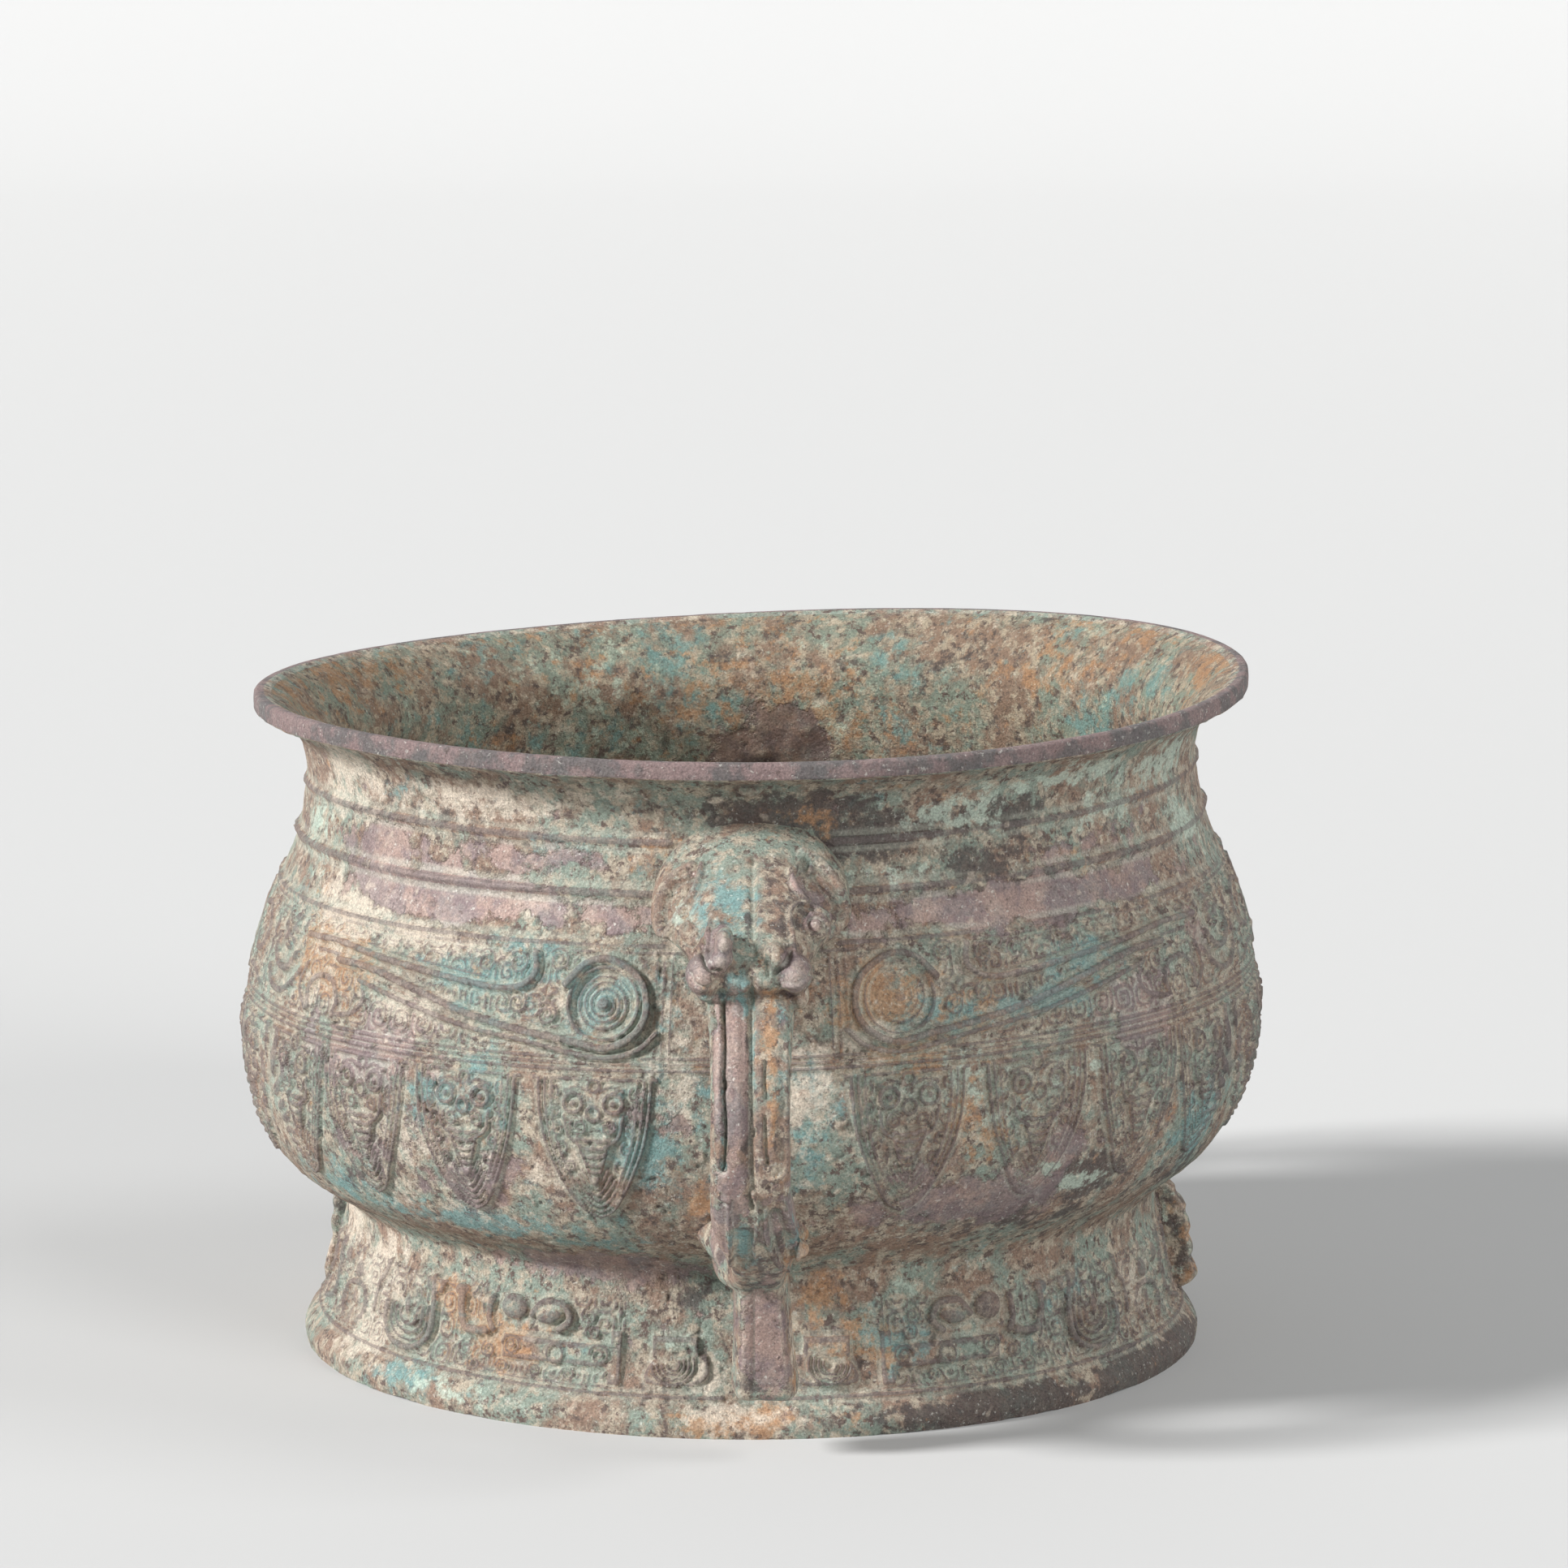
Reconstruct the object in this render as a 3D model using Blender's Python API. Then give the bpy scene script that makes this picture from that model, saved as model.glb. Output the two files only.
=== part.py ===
"""Bronze gui: a food bowl on a ring foot with two beast-head handles, cast as one piece.

Metres, +Z up. The origin is the centre of the foot's underside. The handles lie along Y
and the two flanges on the foot along X. Ornament is laid out on the outer wall by two
values: the angle round from the nearer handle, in degrees, and the height.
"""

import math

import bmesh
import bpy
from mathutils import Matrix, Vector

# Bowl and foot
HEIGHT = 0.1489
RIM_RADIUS = 0.1112
LIP_HEIGHT = 0.0046
LIP_WIDTH = 0.0052
FLARE_DEPTH = 0.0133
NECK_RADIUS = 0.0992
BELLY_RADIUS = 0.1137
BELLY_HEIGHT = 0.072
WAIST_RADIUS = 0.0910
FOOT_HEIGHT = 0.0335
FOOT_RADIUS = 0.1009
FOOT_EDGE = 0.0030
WALL = 0.0036
FLOOR = 0.0042
FOOT_WALL = 0.0046
FLOOR_SAG = 0.0020
FLOOR_CORNER = 0.0060

# Radius of the small flat at the middle of a turned solid, how far a cutter reaches past the surface it
# opens, and the step that the wall's slope is measured over
AXIS_FLAT = 0.0008
CUT_PAST = 0.0080
SLOPE_STEP = 0.0004

# The bowl leans on its foot: how far it rises for each metre towards +X, and where that starts and ends.
# Its rim isn't flat either: it rises at two places, this far round from the X axis, and dips between them.
LEAN = 0.0244
LEAN_START = 0.020
LEAN_REACH = 0.030
RIM_WARP = 0.0015
WARP_ANGLE = 24.0
WARP_START = 0.100

# Raised lines round the neck and above the hanging blades
NECK_LINE_GAP = 0.0109
NECK_LINE_DROP = 0.0196
NECK_LINE_WIDTH = 0.0020
NECK_LINE_RISE = 0.0011
BAND_LINE_HEIGHT = 0.0838

# Ornament
RELIEF_RISE = 0.0013
RELIEF_ROOT = 0.0016
COIL_ANGLE = 17.0
COIL_HEIGHT = 0.0967
COIL_RADIUS = 0.0090
COIL_LINE = 0.0026
BODY_LINE = 0.0028
BLADE_FIRST = 17.0
BLADE_STEP = 14.6
BLADE_TOP = 0.0805
BLADE_LENGTH = 0.0300
BLADE_WIDTH = 0.0245
BLADE_LINE = 0.0024
FOOT_BAND_LOW = 0.0090
FOOT_BAND_HIGH = 0.0275
FOOT_LINE = 0.0026

# Handles
HANDLE_REACH = 0.1460
LOOP_WIDTH = 0.0186
LOOP_DEPTH = 0.0120
LOOP_HEIGHT = 0.0740
LOOP_HALF_HEIGHT = 0.0320
LOOP_ROOT = 0.1120
LOOP_GROOVE = 0.0020
HEAD_TOP = 0.1335
HEAD_DROP = 0.0310
HEAD_WIDTH = 0.0410
HEAD_SETBACK = 0.0075
HORN_RADIUS = 0.0032
PENDANT_FOOT = 0.0130
PENDANT_TOP_WIDTH = 0.0094
PENDANT_FOOT_WIDTH = 0.0138
PENDANT_DEPTH = 0.0125
PENDANT_RADIUS = 0.1150
PENDANT_SHIFT = -0.0024

# Flanges on the foot
FLANGE_THICKNESS = 0.0066
FLANGE_HEIGHT = 0.0245
FLANGE_DROP = 0.0006
FLANGE_REACH = 0.1016
WORN_FLANGE_REACH = 0.0968

# Number of flat sides round the bowl, outside and inside, and of straight pieces round a handle's ring
OUTER_SIDES = 32
INNER_SIDES = 24
LOOP_PIECES = 12

NECK_HEIGHT = HEIGHT - LIP_HEIGHT - FLARE_DEPTH
HEAD_REACH = HANDLE_REACH - HEAD_SETBACK
NECK_LINES = [HEIGHT - NECK_LINE_DROP - NECK_LINE_GAP * step for step in range(3)]
BRONZE = (0.235, 0.245, 0.205, 1.0)


def clear_scene():
    for thing in list(bpy.data.objects):
        bpy.data.objects.remove(thing)


def wall_radius(height):
    """Outer radius of the plain wall, from the foot's edge to the rim."""
    if height <= FOOT_EDGE:
        return FOOT_RADIUS
    if height <= FOOT_HEIGHT:
        share = (height - FOOT_EDGE) / (FOOT_HEIGHT - FOOT_EDGE)
        return WAIST_RADIUS + (FOOT_RADIUS - WAIST_RADIUS) * (1 - share) ** 2.0
    if height <= BELLY_HEIGHT:
        share = (height - FOOT_HEIGHT) / (BELLY_HEIGHT - FOOT_HEIGHT)
        return WAIST_RADIUS + (BELLY_RADIUS - WAIST_RADIUS) * (1 - (1 - share) ** 2.5)
    if height <= NECK_HEIGHT:
        share = ((height - BELLY_HEIGHT) / (NECK_HEIGHT - BELLY_HEIGHT)) ** 1.15
        fall = share * share * (3 - 2 * share)
        return BELLY_RADIUS + (NECK_RADIUS - BELLY_RADIUS) * fall
    share = min((height - NECK_HEIGHT) / FLARE_DEPTH, 1.0)
    return NECK_RADIUS + (RIM_RADIUS - NECK_RADIUS) * (1 - math.sqrt(1 - share * share))


def wall_point(angle, height, rise=0.0):
    """A point on the outer wall, or standing off it along its normal. Angle in degrees from +X."""
    turn = math.radians(angle)
    slope = (wall_radius(height + SLOPE_STEP) - wall_radius(height - SLOPE_STEP)) / (2 * SLOPE_STEP)
    length = math.hypot(1.0, slope)
    radius = wall_radius(height) + rise / length
    return Vector((radius * math.cos(turn), radius * math.sin(turn), height - rise * slope / length))


def share_of(value, start, end):
    """How far the value is from start to end, kept within 0 and 1."""
    return min(max((value - start) / (end - start), 0.0), 1.0)


def settled(point):
    """The same point on the bowl as it really stands: a little higher towards +X, with a warped rim."""
    lift = LEAN * point.x * share_of(point.z, LEAN_START, LEAN_START + LEAN_REACH)
    turn = math.atan2(point.y, point.x) - math.radians(WARP_ANGLE)
    warp = RIM_WARP * math.cos(2 * turn) * share_of(point.z, WARP_START, HEIGHT)
    return Vector((point.x, point.y, point.z + lift + warp))


def spread(low, high, count):
    """Evenly spaced values from low up to, not including, high."""
    return [low + (high - low) * step / count for step in range(count)]


def curve_through(points, pieces):
    """A smooth line through the points, with this many pieces between each two."""
    line = []
    for i in range(len(points) - 1):
        before = points[max(i - 1, 0)]
        start, end = points[i], points[i + 1]
        after = points[min(i + 2, len(points) - 1)]
        for t in spread(0.0, 1.0, pieces):
            line.append(
                tuple(
                    0.5 * (2 * b + (c - a) * t + (2 * a - 5 * b + 4 * c - d) * t * t
                           + (3 * b - a - 3 * c + d) * t**3)
                    for a, b, c, d in zip(before, start, end, after)
                )
            )
    line.append(tuple(points[-1]))
    return line


def loft(bm, rings):
    """A closed solid through rings of points that all have the same count."""
    rows = [[bm.verts.new(point) for point in ring] for ring in rings]
    for low, high in zip(rows, rows[1:]):
        for i in range(len(low)):
            j = (i + 1) % len(low)
            bm.faces.new((low[i], low[j], high[j], high[i]))
    bm.faces.new(rows[0][::-1])
    bm.faces.new(rows[-1])


def turned(bm, profile, sides):
    """A solid of revolution from the profile's (radius, height) rows, closed flat at both ends."""
    loft(bm, [
        [
            (radius * math.cos(2 * math.pi * side / sides), radius * math.sin(2 * math.pi * side / sides), height)
            for side in range(sides)
        ]
        for radius, height in profile
    ])


def finished(name, bm, helper):
    """An object from the mesh, settled as the bowl has settled, with its faces pointing out."""
    for vert in bm.verts:
        vert.co = settled(vert.co)
    bmesh.ops.recalc_face_normals(bm, faces=bm.faces)
    mesh = bpy.data.meshes.new(name)
    bm.to_mesh(mesh)
    bm.free()
    thing = bpy.data.objects.new(name, mesh)
    bpy.context.scene.collection.objects.link(thing)
    if helper:
        thing.hide_render = True
        thing.display_type = "WIRE"
    return thing


def joined(body, other, operation):
    step = body.modifiers.new(other.name, "BOOLEAN")
    step.operation = operation
    step.object = other
    step.solver = "MANIFOLD"


def turned_line(line):
    """Rows of the bowl's outline that make one raised line at this height."""
    rows = []
    for offset, rise in ((-0.5, 0.0), (0.0, 1.0), (0.5, 0.0)):
        height = line + NECK_LINE_WIDTH * offset
        rows.append((wall_radius(height) + NECK_LINE_RISE * rise, height))
    return rows


def outer_profile():
    """The bowl's outside from the foot's edge to the lip, with the raised lines turned into it."""
    heights = [0.0, FOOT_EDGE]
    heights += spread(FOOT_EDGE, FOOT_HEIGHT, 3)[1:]
    heights += [FOOT_HEIGHT + (BELLY_HEIGHT - FOOT_HEIGHT) * share for share in (0.0, 0.12, 0.28, 0.48, 0.72, 1.0)]
    rows = [(wall_radius(height), height) for height in heights]
    rows += turned_line(BAND_LINE_HEIGHT)
    rows.append((wall_radius(COIL_HEIGHT), COIL_HEIGHT))
    for line in reversed(NECK_LINES):
        rows += turned_line(line)
    rows += [
        (wall_radius(NECK_HEIGHT + FLARE_DEPTH * share), NECK_HEIGHT + FLARE_DEPTH * share)
        for share in (0.3, 0.65, 0.9, 1.0)
    ]
    rows.append((RIM_RADIUS, HEIGHT))
    return rows


def bowl_cavity():
    """The inside of the bowl: the wall's thickness inside the outer line, down to a sagging floor."""
    floor = FOOT_HEIGHT + FLOOR / 2
    low, high = floor + FLOOR_CORNER * 0.7, floor + FLOOR_CORNER * 3.2
    heights = [low, floor + FLOOR_CORNER * 1.7] + spread(high, NECK_HEIGHT, 5) + [NECK_HEIGHT]
    rows = [
        (AXIS_FLAT, floor - FLOOR_SAG),
        (0.62 * WAIST_RADIUS, floor - FLOOR_SAG * 0.6),
        (0.90 * WAIST_RADIUS, floor + FLOOR_SAG * 0.6),
    ]
    rows += [(wall_radius(height) - WALL, height) for height in heights]
    mouth = RIM_RADIUS - LIP_WIDTH
    rows += [
        (NECK_RADIUS - WALL + (mouth - NECK_RADIUS + WALL) * share**2, NECK_HEIGHT + (HEIGHT - NECK_HEIGHT) * share)
        for share in (0.45, 0.8, 1.0)
    ]
    rows.append((mouth, HEIGHT + CUT_PAST))
    return rows


def foot_hollow():
    """The space inside the ring foot, up to the bowl's underside."""
    roof = FOOT_HEIGHT - FLOOR / 2
    heights = spread(0.0, roof - FLOOR_CORNER, 3) + [roof - FLOOR_CORNER]
    rows = [(FOOT_RADIUS - FOOT_WALL, -CUT_PAST)]
    rows += [(wall_radius(height) - FOOT_WALL, height) for height in heights]
    rows += [
        (WAIST_RADIUS - FOOT_WALL - FLOOR_CORNER * 0.8, roof - FLOOR_SAG * 0.4),
        (0.5 * WAIST_RADIUS, roof - FLOOR_SAG),
        (AXIS_FLAT, roof - FLOOR_SAG * 1.2),
    ]
    return rows


def raised_line(bm, path, width, crest_share=0.0, rise=RELIEF_RISE):
    """A raised line on the wall along a path of (angle, height) points, with a sharp or a flat crest."""
    rings = []
    for i, (angle, height) in enumerate(path):
        before, after = path[max(i - 1, 0)], path[min(i + 1, len(path) - 1)]
        base = wall_point(angle, height)
        out = (wall_point(angle, height, rise) - base).normalized()
        side = (wall_point(*after) - wall_point(*before)).cross(out).normalized()
        foot, crest = side * width / 2, side * width / 2 * crest_share
        top = [base - crest + out * rise, base + crest + out * rise] if crest_share else [base + out * rise]
        rings.append([base - foot - out * RELIEF_ROOT] + top + [base + foot - out * RELIEF_ROOT])
    loft(bm, rings)


def raised_boss(bm, angle, height, width, tall, sides=6, rise=RELIEF_RISE):
    """A low boss on the wall, such as an eye: an ellipse at the root and a smaller one on top."""
    rings = []
    for scale, stand in ((1.0, -RELIEF_ROOT), (0.6, rise)):
        ring = []
        for side in range(sides):
            turn = 2 * math.pi * side / sides
            across = math.degrees(width / 2 * scale * math.cos(turn) / wall_radius(height))
            ring.append(wall_point(angle + across, height + tall / 2 * scale * math.sin(turn), stand))
        rings.append(ring)
    loft(bm, rings)


def round_coil(centre, radius, start, sweep, pieces):
    """Points of an arc on the wall, as (angle, height), round a centre given the same way."""
    degrees = math.degrees(radius / wall_radius(centre[1]))
    points = []
    for step in range(pieces + 1):
        turn = math.radians(start + sweep * step / pieces)
        points.append((centre[0] + degrees * math.cos(turn), centre[1] + radius * math.sin(turn)))
    return points


def dragon(bm, place):
    """One coiled dragon of the main band: its coil, its long body and the crest above it."""
    coil = round_coil((COIL_ANGLE, COIL_HEIGHT), COIL_RADIUS, 255, -315, 8)
    body = curve_through([
        (COIL_ANGLE + 41, COIL_HEIGHT + COIL_RADIUS * 0.39),
        (COIL_ANGLE + 21, COIL_HEIGHT - COIL_RADIUS * 0.17),
        coil[0],
    ], 2)
    raised_line(bm, [place(*point) for point in body[:-1] + coil], BODY_LINE)
    crest = [
        (COIL_ANGLE + 40, COIL_HEIGHT + COIL_RADIUS * 0.83),
        (COIL_ANGLE + 24, COIL_HEIGHT + COIL_RADIUS * 0.61),
        (COIL_ANGLE + 13, COIL_HEIGHT + COIL_RADIUS * 0.33),
        (COIL_ANGLE + 9, COIL_HEIGHT + COIL_RADIUS * 0.56),
        (COIL_ANGLE + 9, COIL_HEIGHT + COIL_RADIUS),
    ]
    raised_line(bm, [place(*point) for point in crest], COIL_LINE)
    raised_boss(bm, *place(COIL_ANGLE, COIL_HEIGHT), COIL_RADIUS * 0.8, COIL_RADIUS * 0.8)


def face_mask(bm, place):
    """Half of the mask at the middle of each long side: a ringed eye over a crescent jaw, and a horn."""
    eye = (COIL_ANGLE + 50, COIL_HEIGHT + COIL_RADIUS * 0.13)
    raised_boss(bm, *place(*eye), COIL_RADIUS * 0.83, COIL_RADIUS * 0.78)
    jaw = round_coil((eye[0], eye[1] + COIL_RADIUS * 0.11), COIL_RADIUS * 0.91, 200, 150, 3)
    raised_line(bm, [place(*point) for point in jaw], BODY_LINE)
    horn = round_coil((eye[0] + 15, eye[1] - COIL_RADIUS * 0.11), COIL_RADIUS * 0.80, 180, -190, 3)
    raised_line(bm, [place(*point) for point in horn], COIL_LINE)


def blade(bm, place, centre):
    """One hanging blade: its pointed outline and, inside, a cicada with its broad head and narrow body."""
    half = math.degrees(BLADE_WIDTH / 2 / BELLY_RADIUS)
    edge = [(1.0, 0.0), (0.84, 0.55), (0.0, 1.0)]
    outline = edge + [(-across, down) for across, down in reversed(edge[:-1])]
    path = [place(centre + half * across, BLADE_TOP - BLADE_LENGTH * down) for across, down in outline]
    raised_line(bm, path, BLADE_LINE)
    cicada = [(-0.50, 0.10), (0.50, 0.10), (0.44, 0.32), (0.0, 0.80), (-0.44, 0.32)]
    rings = []
    for scale, stand in ((1.0, -RELIEF_ROOT), (0.80, RELIEF_RISE)):
        rings.append([
            wall_point(*place(centre + half * across * scale, BLADE_TOP - BLADE_LENGTH * down), stand)
            for across, down in cicada
        ])
    loft(bm, rings)


def foot_dragon(bm, place):
    """The dragon on one quarter of the foot: tail scroll, body, head lumps, claw, hook and plumes."""
    low, high = FOOT_BAND_LOW, FOOT_BAND_HIGH
    tall = high - low
    tail = [(14.0, low + tall * 0.55), (9.5, low + tall * 0.52), (7.5, low + tall * 0.25), (11.0, low + tall * 0.06)]
    raised_line(bm, [place(*point) for point in tail], FOOT_LINE)
    body = [(18.5, low + tall * 0.24), (27.0, low + tall * 0.26), (35.5, low + tall * 0.20)]
    raised_line(bm, [place(*point) for point in body], tall * 0.42, 0.8)
    raised_boss(bm, *place(27.5, low + tall * 0.80), tall * 0.38, tall * 0.30)
    raised_boss(bm, *place(33.0, low + tall * 0.82), tall * 0.30, tall * 0.27)
    claw = [(39.0, low + tall * 0.95), (39.5, low + tall * 0.62), (43.5, low + tall * 0.55)]
    raised_line(bm, [place(*point) for point in claw], FOOT_LINE)
    hook = [(46.0, low + tall * 0.95), (46.5, low + tall * 0.32), (49.0, low + tall * 0.08),
            (54.0, low + tall * 0.10), (56.5, low + tall * 0.38), (54.5, low + tall * 0.72)]
    raised_line(bm, [place(*point) for point in hook], FOOT_LINE)
    for angle in (61.5, 68.0, 74.5):
        plume = [(angle, low + tall * 0.96), (angle + 1.0, low + tall * 0.10)]
        raised_line(bm, [place(*point) for point in plume], FOOT_LINE)


def ornament():
    """All raised ornament of the wall. Each quarter mirrors its neighbour."""
    bm = bmesh.new()
    blades = [BLADE_FIRST + BLADE_STEP * step for step in range(5)]
    for handle_angle in (-90, 90):
        for way in (-1, 1):

            def place(angle, height):
                return (handle_angle + way * angle, height)

            dragon(bm, place)
            face_mask(bm, place)
            foot_dragon(bm, place)
            for centre in blades:
                blade(bm, place, centre)
    for side_angle in (0, 180):
        blade(bm, lambda angle, height: (side_angle + angle, height), 0.0)
    return finished("ornament", bm, True)


HEAD_ROWS = (
    # share of the head's drop, share of its half width, share of its reach from the neck
    (0.00, 0.46, 0.06),
    (0.09, 0.78, 0.24),
    (0.25, 0.96, 0.42),
    (0.45, 1.00, 0.58),
    (0.64, 0.90, 0.76),
    (0.74, 0.64, 0.86),
    (0.86, 0.60, 0.97),
    (1.00, 0.56, 1.00),
    (1.08, 0.50, 0.96),
)
HEAD_COLUMNS = (
    # share of the half width, share of the row's reach
    (-1.00, 0.30),
    (-0.78, 0.62),
    (-0.45, 0.88),
    (-0.14, 1.00),
    (0.00, 0.93),
    (0.14, 1.00),
    (0.45, 0.88),
    (0.78, 0.62),
    (1.00, 0.30),
)


def head_block(bm):
    """The beast's head: a rounded wedge that leans out from the neck, grooved down the middle."""
    rings = []
    for drop, half, reach in HEAD_ROWS:
        height = HEAD_TOP - HEAD_DROP * drop
        half_width = HEAD_WIDTH / 2 * half
        front = [
            Vector((half_width * across, NECK_RADIUS + (HEAD_REACH - NECK_RADIUS) * reach * share, height))
            for across, share in HEAD_COLUMNS
        ]
        back = NECK_RADIUS - WALL * 2.1
        rings.append(front + [Vector((half_width, back, height)), Vector((-half_width, back, height))])
    loft(bm, rings)


def tube(bm, points, radii, sides=6):
    """A round-sectioned bar through the points, with its own radius at each."""
    rings = []
    for i, point in enumerate(points):
        along = (points[min(i + 1, len(points) - 1)] - points[max(i - 1, 0)]).normalized()
        across = along.cross(Vector((0.0, 0.35, 1.0))).normalized()
        up = across.cross(along)
        rings.append([
            point + (across * math.cos(2 * math.pi * k / sides) + up * math.sin(2 * math.pi * k / sides)) * radii[i]
            for k in range(sides)
        ])
    loft(bm, rings)


def horns(bm):
    """The pair of horns that frame the brow, as shares of the head's own size."""
    horn = [(0.12, 0.10, 0.03), (0.57, 0.14, 0.13), (0.82, 0.19, 0.30), (0.87, 0.21, 0.52), (0.70, 0.27, 0.68)]
    for side in (-1, 1):
        tube(bm, [head_point(side * across, out, drop) for across, out, drop in horn],
             [HORN_RADIUS * share for share in (0.7, 0.95, 1.0, 0.95, 0.5)])


def head_point(across, out, drop):
    """A point of the head from its shares of half the width, of the reach and of the drop."""
    return Vector((
        HEAD_WIDTH / 2 * across,
        NECK_RADIUS + (HEAD_REACH - NECK_RADIUS) * out,
        HEAD_TOP - HEAD_DROP * drop,
    ))


def knobs(bm, across, out, drop, shares):
    """A pair of rounded knobs on the head. Their half sizes are shares of the head's width."""
    size = [HEAD_WIDTH * share for share in shares]
    for side in (-1, 1):
        placed = Matrix.Translation(head_point(side * across, out, drop)) @ Matrix.Diagonal((*size, 1.0))
        bmesh.ops.create_uvsphere(bm, u_segments=6, v_segments=4, radius=1.0, matrix=placed)


def eyes_and_nostrils(bm):
    knobs(bm, 0.62, 0.56, 0.60, (0.073, 0.063, 0.093))
    knobs(bm, 0.34, 0.93, 0.80, (0.088, 0.102, 0.127))


def cheeks(bm):
    knobs(bm, 0.36, 0.88, 0.93, (0.117, 0.151, 0.112))


LOOP_SECTION = (
    # share of half the width, share of half the depth, outward
    (-1.00, -0.60),
    (-1.00, 0.45),
    (-0.66, 0.90),
    (-0.22, 1.00),
    (0.00, 1.00),
    (0.22, 1.00),
    (0.66, 0.90),
    (1.00, 0.45),
    (1.00, -0.60),
    (0.60, -1.00),
    (-0.60, -1.00),
)


# The groove down the ring's outer face starts below the head: the cosines of the turns where it starts and is full
GROOVE_START, GROOVE_FULL = 0.74, 0.88


def loop(bm):
    """The ring of the handle, from inside the head round to inside the belly."""
    rings = []
    middle = HANDLE_REACH - LOOP_DEPTH / 2
    for step in range(LOOP_PIECES + 1):
        turn = math.radians(100 - 226 * step / LOOP_PIECES)
        centre = Vector((
            0.0,
            LOOP_ROOT + (middle - LOOP_ROOT) * math.cos(turn),
            LOOP_HEIGHT + LOOP_HALF_HEIGHT * math.sin(turn),
        ))
        along = Vector((
            0.0,
            -(middle - LOOP_ROOT) * math.sin(turn),
            LOOP_HALF_HEIGHT * math.cos(turn),
        ))
        out = along.cross(Vector((-1.0, 0.0, 0.0))).normalized()
        swell = 1.0 + 0.25 * max(0.0, -math.sin(turn)) ** 6
        groove = LOOP_GROOVE * share_of(math.cos(turn), GROOVE_START, GROOVE_FULL)
        ring = []
        for across, deep in LOOP_SECTION:
            stand = LOOP_DEPTH / 2 * deep - (groove if across == 0.0 else 0.0)
            ring.append(centre + Vector((LOOP_WIDTH / 2 * across * swell, 0.0, 0.0)) + out * stand)
        rings.append(ring)
    loft(bm, rings)


def pendant(bm):
    """The slab that hangs from the loop, a little to one side of its middle and wider at its foot."""
    rings = []
    top = LOOP_HEIGHT - LOOP_HALF_HEIGHT + LOOP_DEPTH * 0.25
    tall = top - PENDANT_FOOT
    for drop, wide, deep in ((0.0, 1.35, 1.25), (0.26, 1.0, 1.0), (0.60, 1.0, 0.94), (0.93, 1.0, 0.86),
                             (1.0, 0.86, 0.60)):
        width = PENDANT_TOP_WIDTH + (PENDANT_FOOT_WIDTH - PENDANT_TOP_WIDTH) * drop
        half, depth = width * wide / 2, PENDANT_DEPTH * deep / 2
        height = top - tall * drop
        section = [(-1.0, -1.0), (-1.0, 0.7), (-0.75, 1.0), (0.75, 1.0), (1.0, 0.7), (1.0, -1.0)]
        rings.append([
            Vector((PENDANT_SHIFT + half * across, PENDANT_RADIUS + depth * out, height))
            for across, out in section
        ])
    loft(bm, rings)


def on_both_handles(name, make):
    """One element of the handle, built at +Y, with its copy turned to -Y."""
    bm = bmesh.new()
    for turn in (0.0, math.pi):
        before = set(bm.verts)
        make(bm)
        new = [vert for vert in bm.verts if vert not in before]
        bmesh.ops.rotate(bm, verts=new, cent=(0, 0, 0), matrix=Matrix.Rotation(turn, 3, "Z"))
    return finished(name, bm, True)


def flange(bm, outline, turn):
    """An upright fin on the foot from its (radius, height) outline, turned round to its place."""
    before = set(bm.verts)
    loft(bm, [[Vector((radius, side * FLANGE_THICKNESS / 2, height)) for radius, height in outline]
              for side in (-1, 1)])
    new = [vert for vert in bm.verts if vert not in before]
    bmesh.ops.rotate(bm, verts=new, cent=(0, 0, 0), matrix=Matrix.Rotation(turn, 3, "Z"))


def flanges():
    """The hooked flange at +X, and the one at -X that corrosion has worn down to a stub."""
    bm = bmesh.new()
    root = WAIST_RADIUS - FOOT_WALL * 0.6
    top = FOOT_HEIGHT - FLANGE_DROP
    for reach, turn, wear in ((FLANGE_REACH, 0.0, 1.0), (WORN_FLANGE_REACH, math.pi, 0.6)):
        stand = reach - WAIST_RADIUS
        outline = [
            (root, top),
            (WAIST_RADIUS + stand * 0.32, top),
            (WAIST_RADIUS + stand * 0.58, top - FLANGE_HEIGHT * 0.09 * wear),
            (WAIST_RADIUS + stand * 0.76, top - FLANGE_HEIGHT * 0.24 * wear),
            (WAIST_RADIUS + stand * 0.84, top - FLANGE_HEIGHT * 0.54),
            (reach, top - FLANGE_HEIGHT * 0.82),
            (reach - stand * 0.11, top - FLANGE_HEIGHT * 0.92),
            (wall_radius(top - FLANGE_HEIGHT) - FOOT_WALL * 0.2, top - FLANGE_HEIGHT),
            (root, top - FLANGE_HEIGHT),
        ]
        flange(bm, outline, turn)
    return finished("flanges", bm, True)


def bronze_material():
    material = bpy.data.materials.new("bronze")
    material.use_nodes = True
    shader = material.node_tree.nodes["Principled BSDF"]
    shader.inputs["Base Color"].default_value = BRONZE
    shader.inputs["Metallic"].default_value = 0.35
    shader.inputs["Roughness"].default_value = 0.68
    return material


def vessel():
    """The whole casting: a solid bowl with everything on it, hollowed above and below."""
    bm = bmesh.new()
    turned(bm, outer_profile(), OUTER_SIDES)
    body = finished("vessel", bm, False)
    for make in (head_block, loop, pendant, horns, eyes_and_nostrils, cheeks):
        joined(body, on_both_handles(make.__name__, make), "UNION")
    for other in (ornament(), flanges()):
        joined(body, other, "UNION")
    for name, profile in (("bowl_cavity", bowl_cavity()), ("foot_hollow", foot_hollow())):
        bm = bmesh.new()
        turned(bm, profile, INNER_SIDES)
        joined(body, finished(name, bm, True), "DIFFERENCE")
    body.data.materials.append(bronze_material())
    body.data.shade_smooth()
    body.data.set_sharp_from_angle(angle=math.radians(35))


clear_scene()
vessel()
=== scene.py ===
import math

import bmesh
import bpy
import numpy as np
from mathutils import Matrix, Vector


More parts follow.
